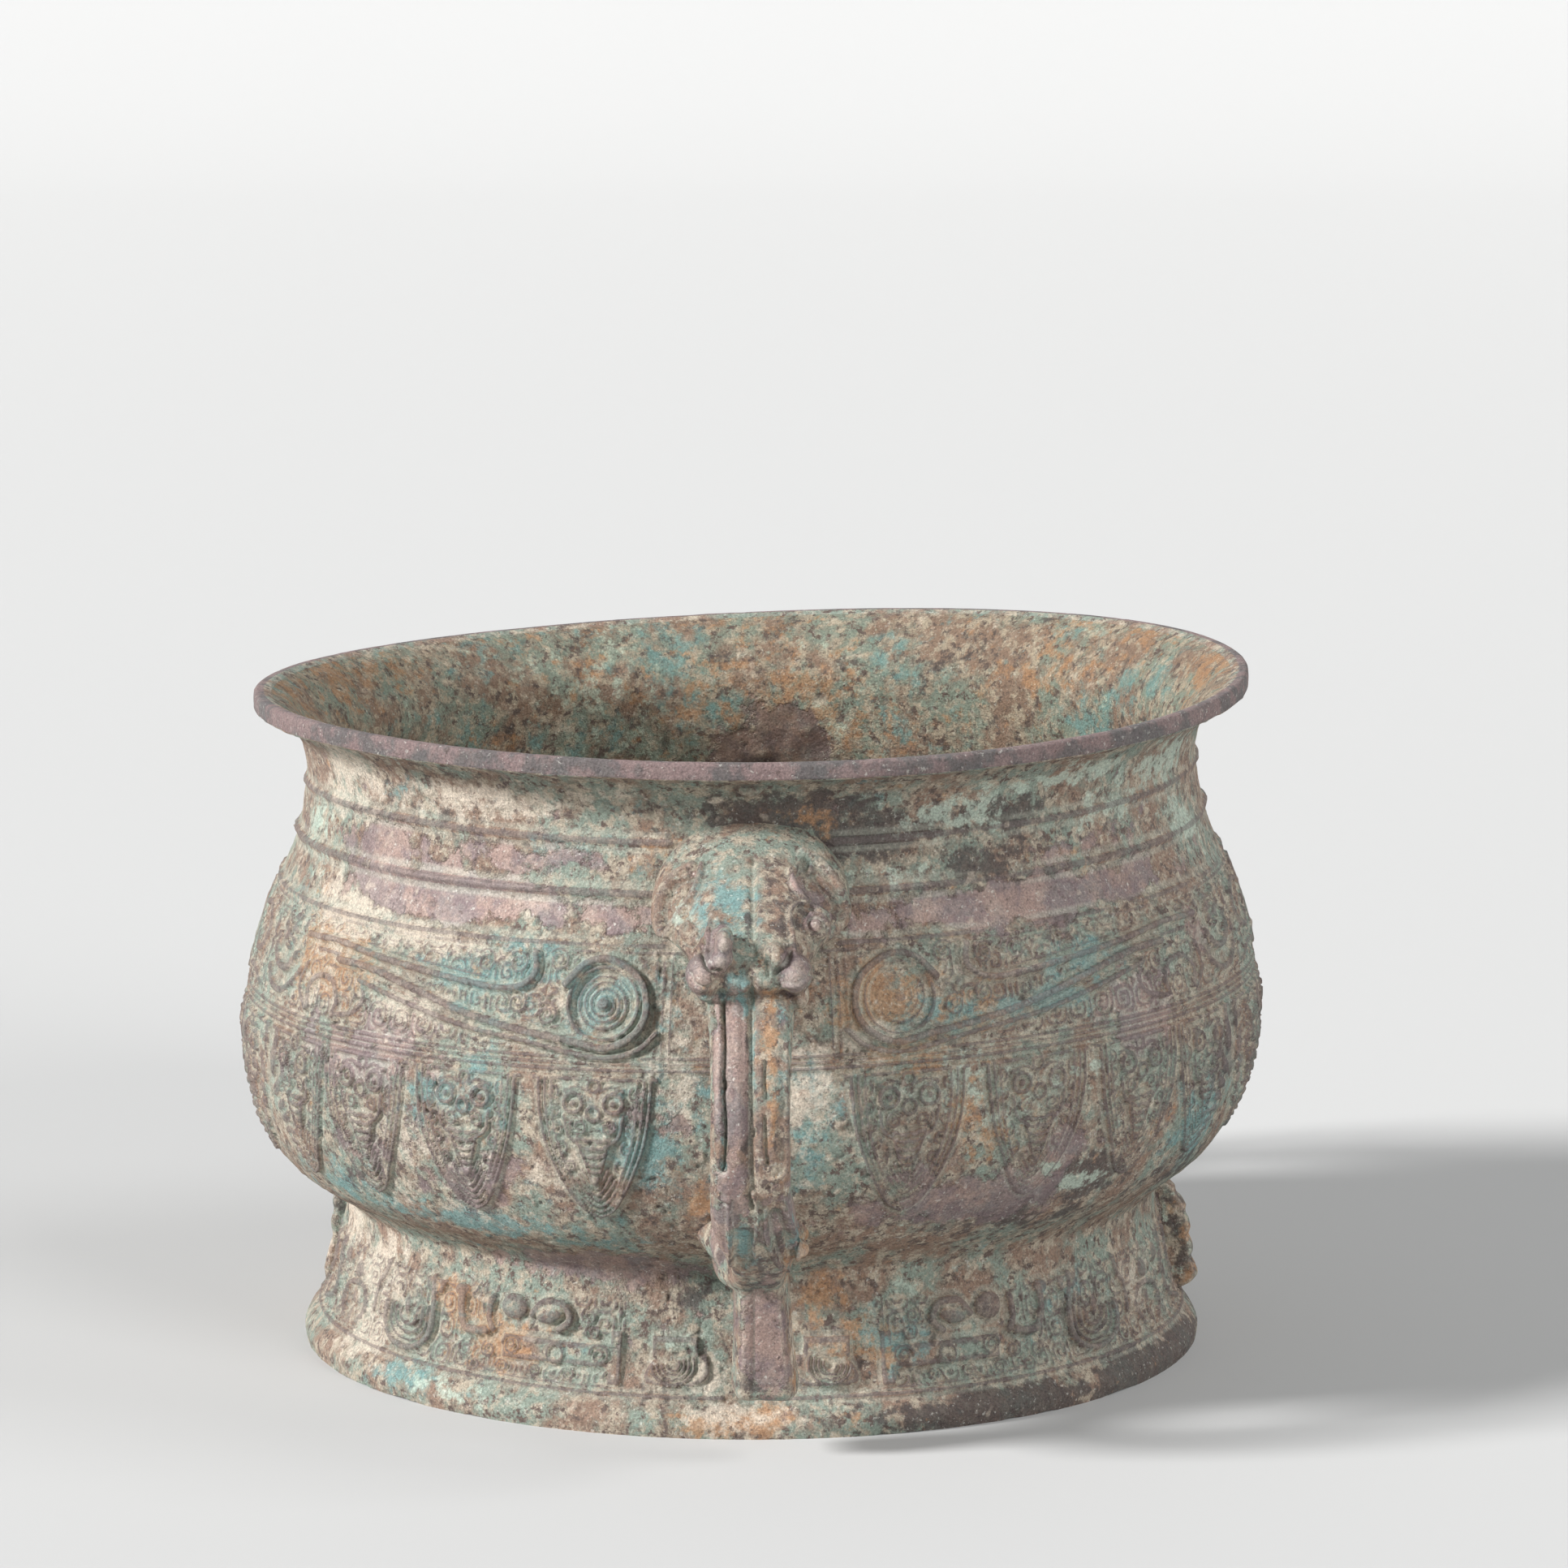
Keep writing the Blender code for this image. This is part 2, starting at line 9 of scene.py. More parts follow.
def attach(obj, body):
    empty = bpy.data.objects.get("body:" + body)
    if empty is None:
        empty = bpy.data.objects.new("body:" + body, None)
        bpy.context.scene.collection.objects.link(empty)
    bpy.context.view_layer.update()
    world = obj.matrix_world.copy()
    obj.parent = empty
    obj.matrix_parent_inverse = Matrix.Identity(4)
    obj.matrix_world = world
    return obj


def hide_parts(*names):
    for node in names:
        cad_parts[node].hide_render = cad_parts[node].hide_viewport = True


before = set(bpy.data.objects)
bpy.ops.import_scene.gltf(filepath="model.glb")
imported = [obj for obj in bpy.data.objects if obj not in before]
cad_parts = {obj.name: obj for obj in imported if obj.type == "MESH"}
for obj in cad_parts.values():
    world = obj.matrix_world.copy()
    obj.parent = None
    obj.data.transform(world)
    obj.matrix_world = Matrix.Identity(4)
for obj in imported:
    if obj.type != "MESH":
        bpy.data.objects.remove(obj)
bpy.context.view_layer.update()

# All lengths are in millimetres, in the solid's own frame: the handles lie along Y, the
# flanges along X, and z is 0 under the foot. A place on the outer wall is an angle from +X
# and v, the length along the wall's outline from the foot's edge.

HEIGHT = 148.9
WALL = 3.6
WIDEST = 114.8
LEAN = 0.0244
LEAN_START, LEAN_REACH = 20.0, 30.0
RIM_WARP, WARP_ANGLE, WARP_START = 1.5, 24.0, 100.0

# The camera as it was fitted to the photograph: 1.6 m away and 14 degrees above the foot
DISTANCE, ELEVATION, LENS = 1.6, 0.2448, 161.3
PAN, TILT = -0.004679, -0.076824
# A handle is drawn as the camera sees it: what reaches out further than this shows lower, by this slope
VIEW_SLOPE, VIEW_REACH = 0.25, 100.0

# The outline of the wall: length along it, radius and height
OUTLINE = np.array([
    (0.0, 100.6, 0.0), (2.5, 100.9, 2.5), (5.2, 99.8, 5.0), (9.1, 97.3, 8.0), (13.7, 95.2, 12.0),
    (18.8, 93.9, 17.0), (25.9, 92.6, 24.0), (33.1, 91.2, 31.0), (35.6, 91.1, 33.5), (38.2, 92.6, 35.6),
    (41.8, 95.4, 38.0), (48.2, 100.6, 41.5), (53.5, 104.6, 45.0), (61.9, 109.3, 52.0), (70.5, 112.3, 60.0),
    (78.6, 113.5, 68.0), (84.6, 113.7, 74.0), (91.6, 113.0, 81.0), (100.8, 111.3, 90.0),
    (111.2, 108.2, 100.0), (120.9, 104.6, 109.0), (128.5, 101.8, 116.0), (136.7, 100.0, 124.0),
    (143.7, 99.2, 131.0), (149.8, 100.2, 137.0), (155.3, 103.3, 141.5), (159.7, 107.0, 144.0),
    (162.4, 109.6, 144.5), (163.5, 110.7, 144.7), (164.1, 111.1, 145.2), (165.5, 111.2, 146.5),
    (167.2, 111.1, 148.1), (168.0, 110.6, 148.7), (168.7, 110.0, 148.9), (169.9, 108.9, 148.75),
    (171.7, 107.2, 147.9), (175.0, 104.4, 146.2), (180.0, 100.9, 142.6), (186.0, 97.3, 137.8),
    (190.2, 95.9, 134.0),
])
LIP_V = 171.7


def line_through(xs, ys, x):
    """A smooth line through the points that keeps between its neighbours."""
    gap = np.diff(xs)
    slope = np.diff(ys) / gap
    product = slope[1:] * slope[:-1]
    inner = np.where(product > 0, 2 * product / (slope[1:] + slope[:-1] + 1e-12), 0.0)
    tangent = np.concatenate([[slope[0]], inner, [slope[-1]]])
    i = np.clip(np.searchsorted(xs, x, side="right") - 1, 0, len(gap) - 1)
    t = np.clip((x - xs[i]) / gap[i], 0.0, 1.0)
    return (ys[i] * (1 + 2 * t) * (1 - t) ** 2 + tangent[i] * gap[i] * t * (1 - t) ** 2
            + ys[i + 1] * t * t * (3 - 2 * t) + tangent[i + 1] * gap[i] * t * t * (t - 1))


def outline(v):
    return line_through(OUTLINE[:, 0], OUTLINE[:, 1], v), line_through(OUTLINE[:, 0], OUTLINE[:, 2], v)


def radius_at(z):
    """Outer radius of the wall at a height, below the rim's lip."""
    rows = OUTLINE[:27]
    return line_through(rows[:, 2], rows[:, 1], z)


def step_up(value, low, high):
    t = np.clip((value - low) / (high - low), 0.0, 1.0)
    return t * t * (3 - 2 * t)


def settled(p):
    """The same points on the bowl as it really stands: higher towards +X, with a warped rim."""
    x, y, z = p[..., 0], p[..., 1], p[..., 2]
    lift = LEAN * x * np.clip((z - LEAN_START) / LEAN_REACH, 0, 1)
    turn = np.arctan2(y, x) - math.radians(WARP_ANGLE)
    warp = RIM_WARP * np.cos(2 * turn) * np.clip((z - WARP_START) / (HEIGHT - WARP_START), 0, 1)
    return np.stack([x, y, z + lift + warp], axis=-1)


# Noise with no outside state: every value comes from its place and a whole number

def lattice(ix, iy, iz, seed):
    n = (ix * 374761393 + iy * 668265263 + iz * 1103515245 + seed * 974711) & 0xFFFFFFFF
    n = ((n ^ (n >> 13)) * 1274126177) & 0xFFFFFFFF
    return ((n ^ (n >> 16)) & 0xFFFFFF) / 0xFFFFFF


TURN = np.array([[0.36, 0.48, -0.80], [-0.80, 0.60, 0.0], [0.48, 0.64, 0.60]])


def noise(p, size, seed):
    """Smooth noise from -1 to 1 at points (n, 3), with forms about this large."""
    q = (p @ TURN.T) / size + 500.3 + seed * 7.31
    whole = np.floor(q).astype(np.int64)
    f = q - whole
    f = f * f * (3 - 2 * f)
    total = np.zeros(len(p))
    for dx in (0, 1):
        wx = f[:, 0] if dx else 1 - f[:, 0]
        for dy in (0, 1):
            wy = wx * (f[:, 1] if dy else 1 - f[:, 1])
            for dz in (0, 1):
                wz = wy * (f[:, 2] if dz else 1 - f[:, 2])
                total += wz * lattice(whole[:, 0] + dx, whole[:, 1] + dy, whole[:, 2] + dz, seed)
    return total * 2 - 1


def layered(p, size, seed, octaves=3, gain=0.5):
    total, amount, weight = np.zeros(len(p)), 1.0, 0.0
    for octave in range(octaves):
        total += amount * noise(p, size / 2**octave, seed + octave * 17)
        weight += amount
        amount *= gain
    return total / weight


# Charts: flat height maps, in millimetres, that the ornament is drawn on

class Chart:
    def __init__(self, x0, x1, y0, y1, cell):
        self.x0, self.y0, self.cell = x0, y0, cell
        self.xs = np.arange(x0, x1 + cell, cell)
        self.ys = np.arange(y0, y1 + cell, cell)
        self.h = np.zeros((len(self.ys), len(self.xs)))

    def part(self, points, reach):
        """The window of cells near some points, as slices and the places of its cells."""
        points = np.asarray(points, float)
        low, high = points.min(0) - reach, points.max(0) + reach
        i0, i1 = np.clip(((low[0] - self.x0) / self.cell, (high[0] - self.x0) / self.cell + 2), 0,
                         len(self.xs))
        j0, j1 = np.clip(((low[1] - self.y0) / self.cell, (high[1] - self.y0) / self.cell + 2), 0,
                         len(self.ys))
        where = (slice(int(j0), int(j1)), slice(int(i0), int(i1)))
        x, y = np.meshgrid(self.xs[where[1]], self.ys[where[0]])
        return where, x, y

    def distance(self, points, reach):
        """How far each nearby cell is from a line of points, and how far along the line its foot is."""
        points = np.asarray(points, float)
        where, x, y = self.part(points, reach)
        nearest, along = np.full(x.shape, 1e9), np.zeros(x.shape)
        count = len(points) - 1
        for k in range(count):
            (ax, ay), (bx, by) = points[k], points[k + 1]
            length = max((bx - ax) ** 2 + (by - ay) ** 2, 1e-9)
            t = np.clip(((x - ax) * (bx - ax) + (y - ay) * (by - ay)) / length, 0, 1)
            d = np.hypot(x - ax - t * (bx - ax), y - ay - t * (by - ay))
            closer = d < nearest
            nearest = np.where(closer, d, nearest)
            along = np.where(closer, (k + t) / count, along)
        return where, nearest, along

    def raise_to(self, where, height):
        self.h[where] = np.where(height > 0, np.maximum(self.h[where], height), self.h[where])

    def line(self, points, width, rise, soft=0.45, ends=(1.0, 1.0), smooth=True):
        """A raised line, with its width at each end as a share of the full one."""
        points = curved(points) if smooth and len(points) > 2 else points
        where, d, along = self.distance(points, width + 1)
        half = width / 2 * (ends[0] + (ends[1] - ends[0]) * along) if ends != (1.0, 1.0) else width / 2
        self.raise_to(where, rise * step_up(half + soft / 2 - d, 0, soft))

    def groove(self, points, width, depth, soft=0.4, smooth=True):
        points = curved(points) if smooth and len(points) > 2 else points
        where, d, _ = self.distance(points, width + 1)
        self.h[where] -= depth * step_up(width / 2 + soft / 2 - d, 0, soft)

    def dome(self, x, y, across, tall, rise, turn=0.0):
        """A rounded boss, or a hollow where rise is below 0."""
        where, cx, cy = self.part([(x, y)], max(across, tall) * 1.1)
        c, s = math.cos(math.radians(turn)), math.sin(math.radians(turn))
        u, w = (cx - x) * c + (cy - y) * s, -(cx - x) * s + (cy - y) * c
        d = np.hypot(u / across, w / tall)
        shape = rise * np.sqrt(np.clip(1 - d * d, 0, 1)) if rise > 0 else rise * step_up(1 - d, 0, 0.45)
        if rise > 0:
            self.raise_to(where, shape)
        else:
            self.h[where] += shape

    def ring(self, x, y, radius, width, rise, soft=0.4):
        where, cx, cy = self.part([(x, y)], radius + width + 1)
        d = np.abs(np.hypot(cx - x, cy - y) - radius)
        self.raise_to(where, rise * step_up(width / 2 + soft / 2 - d, 0, soft))

    def spiral(self, x, y, radius, pitch, width, rise, way=1, start=0.0, inner=0.35):
        """A line wound in towards the middle."""
        turns = (radius - inner * pitch) / pitch
        points = []
        for k in range(int(turns * 22) + 1):
            turn = 2 * math.pi * k / 22
            r = radius - pitch * turn / (2 * math.pi)
            points.append((x + r * math.cos(math.radians(start) + way * turn),
                           y + r * math.sin(math.radians(start) + way * turn)))
        self.line(points, width, rise, soft=0.3, smooth=False)

    def plate(self, corners, rise, soft=0.5, sink=False):
        """A raised or sunken flat shape inside a closed outline."""
        outline_points = list(corners) + [corners[0]]
        if len(corners) > 4:
            outline_points = curved(outline_points)
        where, d, _ = self.distance(outline_points, 1 + soft)
        _, x, y = self.part(outline_points, 1 + soft)
        inside = np.zeros(x.shape, bool)
        for (ax, ay), (bx, by) in zip(outline_points, outline_points[1:]):
            crosses = (ay > y) != (by > y)
            inside ^= crosses & (x < (bx - ax) * (y - ay) / (by - ay + 1e-12) + ax)
        signed = np.where(inside, d, -d)
        shape = step_up(signed, -soft / 2, soft / 2)
        if sink:
            self.h[where] -= rise * shape
        else:
            self.raise_to(where, rise * shape)

    def read(self, x, y):
        i = np.clip((x - self.x0) / self.cell, 0, len(self.xs) - 1.001)
        j = np.clip((y - self.y0) / self.cell, 0, len(self.ys) - 1.001)
        i0, j0 = i.astype(int), j.astype(int)
        fi, fj = i - i0, j - j0
        h = self.h
        return ((h[j0, i0] * (1 - fi) + h[j0, i0 + 1] * fi) * (1 - fj)
                + (h[j0 + 1, i0] * (1 - fi) + h[j0 + 1, i0 + 1] * fi) * fj)


def curved(points, pieces=6):
    """A smooth line through the points."""
    p = np.asarray(points, float)
    p = np.vstack([2 * p[0] - p[1], p, 2 * p[-1] - p[-2]])
    out = []
    for i in range(1, len(p) - 2):
        a, b, c, d = p[i - 1], p[i], p[i + 1], p[i + 2]
        for t in np.arange(pieces) / pieces:
            out.append(0.5 * (2 * b + (c - a) * t + (2 * a - 5 * b + 4 * c - d) * t * t
                              + (3 * b - a - 3 * c + d) * t**3))
    out.append(p[-2])
    return out


def thunder(x, y, wide, tall, pitch):
    """Rows of small squared spirals, each turned against its neighbours. From 0 to 1."""
    column, row = np.floor(x / wide), np.floor(y / tall)
    u, w = (x / wide - column - 0.5) * wide, (y / tall - row - 0.5) * tall
    flip = np.where((column + row) % 2 > 0, -1.0, 1.0)
    r = (np.abs(u) ** 3 + np.abs(w) ** 3) ** (1 / 3)
    phase = r / pitch - flip * np.arctan2(w, u) / (2 * math.pi)
    return step_up(np.cos(2 * math.pi * phase), -0.35, 0.75)


MM_PER_DEGREE = 1.93
FOOT_MM_PER_DEGREE = 1.655


def main_band_chart():
    """One quarter of the main band: the coiled dragon, and half of the mask at the middle."""
    chart = Chart(0, 90 * MM_PER_DEGREE, 90, 121, 0.12)
    X, Y = np.meshgrid(chart.xs, chart.ys)
    fill = 0.46 * thunder(X + 1.2, Y - 97.2, 6.6, 6.2, 1.5)
    chart.h += fill * step_up(Y, 96.6, 97.2) * (1 - step_up(Y, 117.2, 117.8)) * step_up(X, 22, 23)

    def at(points):
        return [(phi * MM_PER_DEGREE, v) for phi, v in points]

    def clear(points, width):
        where, d, _ = chart.distance(curved(at(points)), width + 1)
        chart.h[where] *= step_up(d, width / 2 - 0.2, width / 2 + 0.3)

    ridge = [
        (53.8, 110.1), (47.9, 109.7), (39.9, 106.8), (32.7, 103.4), (25.1, 100.7), (20, 99.3),
        (15.8, 98.0), (13.0, 100.3), (11.6, 104.0), (11.5, 108.5), (12.6, 113.0), (15.8, 116.6),
        (18.7, 115.6), (20.9, 111.0),
    ]
    under = [
        (49.6, 106.8), (39.9, 103.4), (32.7, 100.7), (25.1, 98.8), (19.6, 96.8), (15.8, 95.9),
        (12.3, 97.6), (10.3, 101.2),
    ]
    upper = [
        (62.7, 113.4), (54.7, 113.8), (47.9, 112.6), (39.9, 111.2), (32.7, 109.8), (28.5, 109.3),
        (25.9, 110.5), (24.7, 113.4), (25.1, 117.2),
    ]
    clear(ridge, 3.4)
    clear(under, 2.6)
    clear(upper, 2.8)
    x, y = 16.5 * MM_PER_DEGREE, 107.3
    d = np.hypot(X - x, Y - y)
    chart.h *= step_up(d, 10.2, 10.8)
    chart.h -= 1.0 * (1 - step_up(d, 6.8, 7.3))
    chart.h += 0.6 * (1 - step_up(d, 6.0, 6.4)) * step_up(
        np.cos(2 * math.pi * (d / 1.4 - np.arctan2(Y - y, X - x) / (2 * math.pi))), -0.1, 0.7)
    chart.ring(x, y, 7.8, 0.7, 0.75)
    chart.dome(x, y, 1.3, 1.3, 0.5)
    chart.line(at(ridge), 1.7, 1.85, soft=0.5)
    chart.line(at(under), 1.2, 1.4, soft=0.45)
    chart.line(at(upper), 1.5, 1.6, soft=0.5)
    chart.line(at([(59.3, 111.3), (49.6, 110.9), (45.4, 109.3)]), 0.8, 0.8)
    chart.line(at([(56, 108.4), (49.6, 108.2), (40.5, 105.2), (33, 102.0), (25.4, 99.8), (20, 98.2)]), 0.7,
               0.75)
    chart.line(at([(61, 115.0), (54.7, 115.4), (46, 114.0), (38, 112.7), (31, 111.4)]), 0.7, 0.7)
    for px, py in ((26.6, 106.6), (22.9, 104.6), (31.4, 114.7), (27.2, 114.9), (22.2, 116.0)):
        chart.spiral(px * MM_PER_DEGREE, py, 2.6, 1.2, 0.6, 0.75, start=40)
    for line in (93.4, 94.7, 95.9):
        chart.line(at([(0, line), (90, line)]), 0.65, 0.55, smooth=False)
    for phi in (8.8, 9.7, 10.6):
        chart.line(at([(phi, 92), (phi, 118)]), 0.5, 0.32, smooth=False)
    chart.line(at([(8, 118.2), (90, 118.2)]), 0.7, 0.45, smooth=False)

    # The mask: an eye in spiral rings over a thick crescent, jaws, snout and a horn
    where, ex, ey = chart.part([(67.5 * MM_PER_DEGREE, 107)], 13)
    chart.h[where] *= step_up(np.hypot((ex - 67.5 * MM_PER_DEGREE) / 10, (ey - 106.6) / 8.6), 0.9, 1.02)
    chart.spiral(68 * MM_PER_DEGREE, 111.8, 3.9, 1.15, 0.65, 0.8)
    chart.line(at([(71.4, 110.8), (70.6, 106.6), (68.2, 104.6), (65.9, 105.0), (64.5, 108.2)]), 2.0, 1.25,
               soft=0.7, ends=(0.6, 1.0))
    chart.line(at([(72.2, 103.4), (69.9, 100.2), (66.5, 99.7), (64, 102.2), (62.3, 105.5)]), 1.6, 1.05,
               soft=0.6)
    chart.line(at([(61, 107.4), (61.4, 102.2), (59.3, 98.2)]), 1.4, 1.0, soft=0.5)
    chart.line(at([(49.6, 107.4), (48.4, 103), (50, 99.6), (53.6, 98.4)]), 1.3, 0.95, soft=0.5)
    chart.line(at([(53.4, 98.2), (53.0, 102.0), (54.6, 105.4), (57.6, 105.6), (59.2, 102.6), (58.8, 98.8)]),
               1.5, 1.1)
    for k in range(5):
        chart.spiral((56 + k * 3.5) * MM_PER_DEGREE, 114.6, 2.8, 1.15, 0.6, 0.7, way=-1, start=90)
    chart.plate(at([(86.5, 98), (90, 98), (90, 116.5), (88.0, 116.5), (86.8, 112)]), 1.0)
    chart.line(at([(85, 113.5), (80.5, 114.5), (77.0, 111.2), (77.8, 106.0), (81.5, 104.4), (84, 106.6)]),
               1.5, 1.05)
    chart.line(at([(75.2, 98.6), (79.5, 100.6), (84.8, 99.6)]), 1.3, 0.9)
    return chart


def blade_chart():
    """One hanging blade with its cicada, x across from the blade's middle and v down to its tip."""
    chart = Chart(-15, 15, 56, 93, 0.1)
    edge = [(0, 60.2), (3.0, 62.0), (6.0, 66.5), (8.6, 72.0), (10.8, 78.0), (12.0, 85.0), (12.3, 91.2)]
    for inset, rise in ((0.0, 0.95), (1.5, 0.8), (3.0, 0.7)):
        for side in (-1, 1):
            chart.line([(side * max(x * (1 - inset / 13.5), 0), v + inset * 0.95 * (1 - x / 15))
                        for x, v in edge], 0.8, rise, soft=0.4)
    for step in range(1, 6):
        low, half = 60.2 + step * 1.45, 6.6 - step * 0.75
        chart.line([(-half, low + 6.2 - step * 0.35), (-half * 0.62, low + 2.4), (0, low),
                    (half * 0.62, low + 2.4), (half, low + 6.2 - step * 0.35)], 0.75, 0.75)
    chart.line([(-13.5, 91.4), (13.5, 91.4)], 0.8, 0.7, smooth=False)
    chart.line([(-12.5, 89.8), (-9.8, 89.8)], 0.5, 0.4, smooth=False)
    chart.line([(9.8, 89.8), (12.5, 89.8)], 0.5, 0.4, smooth=False)
    for side in (-1, 1):
        for x, v, r in ((9.3, 88.3, 1.7), (9.1, 84.4, 1.7), (8.4, 80.6, 1.6), (7.2, 76.6, 1.5),
                        (5.6, 72.4, 1.4)):
            chart.spiral(side * x, v, r, 1.0, 0.55, 0.7, way=side, start=70)
        chart.plate([(side * 0.4, 80.0), (side * 6.0, 80.6), (side * 7.2, 86.0), (side * 5.4, 89.2),
                     (side * 0.4, 88.6)], 0.4)
        chart.ring(side * 4.4, 86.4, 2.0, 0.95, 1.35)
        chart.dome(side * 4.4, 86.4, 0.95, 0.95, 1.4)
        chart.spiral(side * 3.2, 81.4, 2.0, 1.1, 0.65, 1.05, way=-side, start=30)
        chart.line([(side * 6.4, 83.6), (side * 5.6, 79.6), (side * 3.4, 77.6)], 0.9, 0.95)
        chart.line([(side * 1.6, 89.0), (side * 3.6, 89.8), (side * 6.4, 88.9)], 0.8, 0.9)
    chart.ring(0, 90.0, 1.3, 0.7, 0.9)
    chart.ring(0, 84.2, 1.5, 0.8, 1.25)
    chart.plate([(-3.9, 79.4), (0, 78.6), (3.9, 79.4), (2.8, 75.0), (0.9, 69.4), (0, 68.2), (-0.9, 69.4),
                 (-2.8, 75.0)], 1.2, soft=0.6)
    for v, half in ((77.7, 3.1), (75.9, 2.5), (74.1, 1.9), (72.3, 1.4), (70.7, 0.9)):
        chart.groove([(-half, v + 0.45), (-half * 0.4, v - 0.25), (0, v + 0.2), (half * 0.4, v - 0.25),
                      (half, v + 0.45)], 0.5, 0.75, soft=0.35)
    return chart


def foot_chart():
    """One quarter of the band on the foot: a dragon with its tail, body, claw and hooked plumes."""
    chart = Chart(0, 90 * FOOT_MM_PER_DEGREE, 7, 33, 0.12)
    X, Y = np.meshgrid(chart.xs, chart.ys)
    fill = 0.42 * thunder(X, Y - 9.8, 5.9, 5.6, 1.45)
    chart.h += fill * step_up(Y, 9.7, 10.3) * (1 - step_up(Y, 28.6, 29.6)) * step_up(X, 27, 28.5)

    def at(points):
        return [(phi * FOOT_MM_PER_DEGREE, v) for phi, v in points]

    def wipe(points, width):
        where, d, _ = chart.distance(at(points), width + 1)
        chart.h[where] *= step_up(d, width / 2 - 0.2, width / 2 + 0.4)

    wipe([(18, 17), (34, 17)], 8)
    wipe([(26, 25.3), (34, 25.3)], 8)
    wipe([(47.4, 29), (47.2, 16), (52, 12.5), (56.6, 16), (56, 22)], 4)
    chart.line(at([(0, 9.0), (90, 9.0)]), 0.8, 0.5, smooth=False)
    chart.plate(at([(6.7, 18.0), (12.9, 17.7), (12.9, 22.2), (6.9, 22.4)]), 1.0)
    chart.plate(at([(5.7, 18.4), (5.4, 14.4), (7.0, 11.9), (10.5, 11.2), (13.8, 12.6), (12.6, 17.4),
                    (9.8, 18.6)]), 0.75)
    for k in range(4):
        r = 4.6 - k * 1.05
        arc = [(10.1 + r / FOOT_MM_PER_DEGREE * math.cos(math.radians(a)),
                16.4 + r * math.sin(math.radians(a)))
               for a in range(160, 351, 19)]
        chart.line(at(arc), 0.65, 1.35, soft=0.35)
    chart.plate(at([(17.1, 14.6), (34.2, 14.4), (34.3, 19.4), (17.3, 19.8)]), 0.95)
    chart.plate(at([(17.0, 10.9), (18.6, 10.9), (18.6, 22.6), (17.0, 22.8)]), 0.95)
    chart.line(at([(17.5, 10.4), (34, 10.4), (38, 11.4)]), 0.7, 0.5, smooth=False)
    for phi, v in ((32.7, 17.2), (19.9, 17.2)):
        chart.spiral(phi * FOOT_MM_PER_DEGREE, v, 2.4, 1.1, 0.6, 1.65)
    chart.ring(26.2 * FOOT_MM_PER_DEGREE, 16.7, 1.9, 0.7, 1.6)
    for phi, v in ((29.1, 12.3), (24.2, 12.4), (18.3, 12.6), (34.0, 12.2)):
        chart.spiral(phi * FOOT_MM_PER_DEGREE, v, 1.7, 0.95, 0.5, 0.75)
    chart.dome(33.1 * FOOT_MM_PER_DEGREE, 25.6, 3.6, 3.1, 1.9)
    chart.dome(27.6 * FOOT_MM_PER_DEGREE, 25.2, 3.8, 2.6, 1.7, turn=-15)
    chart.line(at([(30.0, 24.6), (28.2, 27.6), (25.4, 27.2), (24.4, 24.0), (25.8, 21.8)]), 1.7, 1.6, soft=0.6)
    chart.line(at([(36.7, 26.6), (36.9, 22.6), (36.2, 20.0)]), 1.6, 1.4, soft=0.6)
    chart.line(at([(41.8, 26.6), (41.6, 22.6), (40.4, 19.0), (37.2, 19.4)]), 2.0, 1.7, soft=0.7)
    chart.dome(42.2 * FOOT_MM_PER_DEGREE, 27.2, 2.3, 1.7, 1.6)
    for phi, v in ((36.6, 15.4), (40.4, 14.6), (38.4, 11.6), (21.8, 25.4), (21.2, 22.0)):
        chart.spiral(phi * FOOT_MM_PER_DEGREE, v, 1.9, 1.0, 0.55, 0.75, way=-1, start=60)
    hook = [(47.5, 28.6), (46.9, 22.0), (47.2, 15.4), (49.8, 11.7), (54.0, 12.0), (56.6, 15.4), (56.9, 20.0)]
    chart.line(at(hook), 1.6, 1.6, soft=0.6)
    for k in range(1, 4):
        middle = np.array((52.2, 19.5))
        inner = [tuple(middle + (np.array(p) - middle) * (1 - 0.21 * k)) for p in hook[1:]]
        chart.line(at(inner), 0.7, 1.15, soft=0.35)
    chart.dome(52.6 * FOOT_MM_PER_DEGREE, 20.6, 1.2, 2.6, 1.0)
    chart.plate(at([(45.4, 28.4), (49.2, 28.4), (48.9, 25.4), (46.0, 25.2)]), 1.15)
    chart.line(at([(58.4, 29.0), (58.8, 25.8), (60.4, 22.6), (60.6, 17.0)]), 1.4, 1.05)
    chart.dome(67.2 * FOOT_MM_PER_DEGREE, 23.4, 2.8, 2.6, 1.15)
    chart.dome(72.9 * FOOT_MM_PER_DEGREE, 25.2, 2.6, 2.2, 1.1)
    chart.line(at([(64.5, 12.4), (63.4, 17.0), (65.6, 20.6), (70.0, 19.6), (71.4, 15.4), (69.4, 12.2)]),
               1.4, 1.1)
    chart.line(at([(76.0, 28.0), (75.2, 21.0), (77.0, 14.4), (81.0, 12.2)]), 1.4, 1.1)
    chart.line(at([(81.5, 27.6), (80.4, 22.0), (83.0, 17.6)]), 1.3, 1.0)
    return chart


MAIN, BLADE, FOOT = main_band_chart(), blade_chart(), foot_chart()
# Where each chart lies along the wall's outline, and how near the handles its ornament comes
BAND_LOW, BAND_HIGH = 91.9, 120.2
BLADE_LOW, BLADE_START = 57, 8.8
FOOT_LOW, FOOT_HIGH, FOOT_START = 7.5, 32, 3.5
FOOT_GAIN = 1.2
BLADE_CENTRES = np.array([16.9, 32.3, 47.1, 60.5, 75.0, 90.0])
BLADE_MM_PER_DEGREE = 1.97

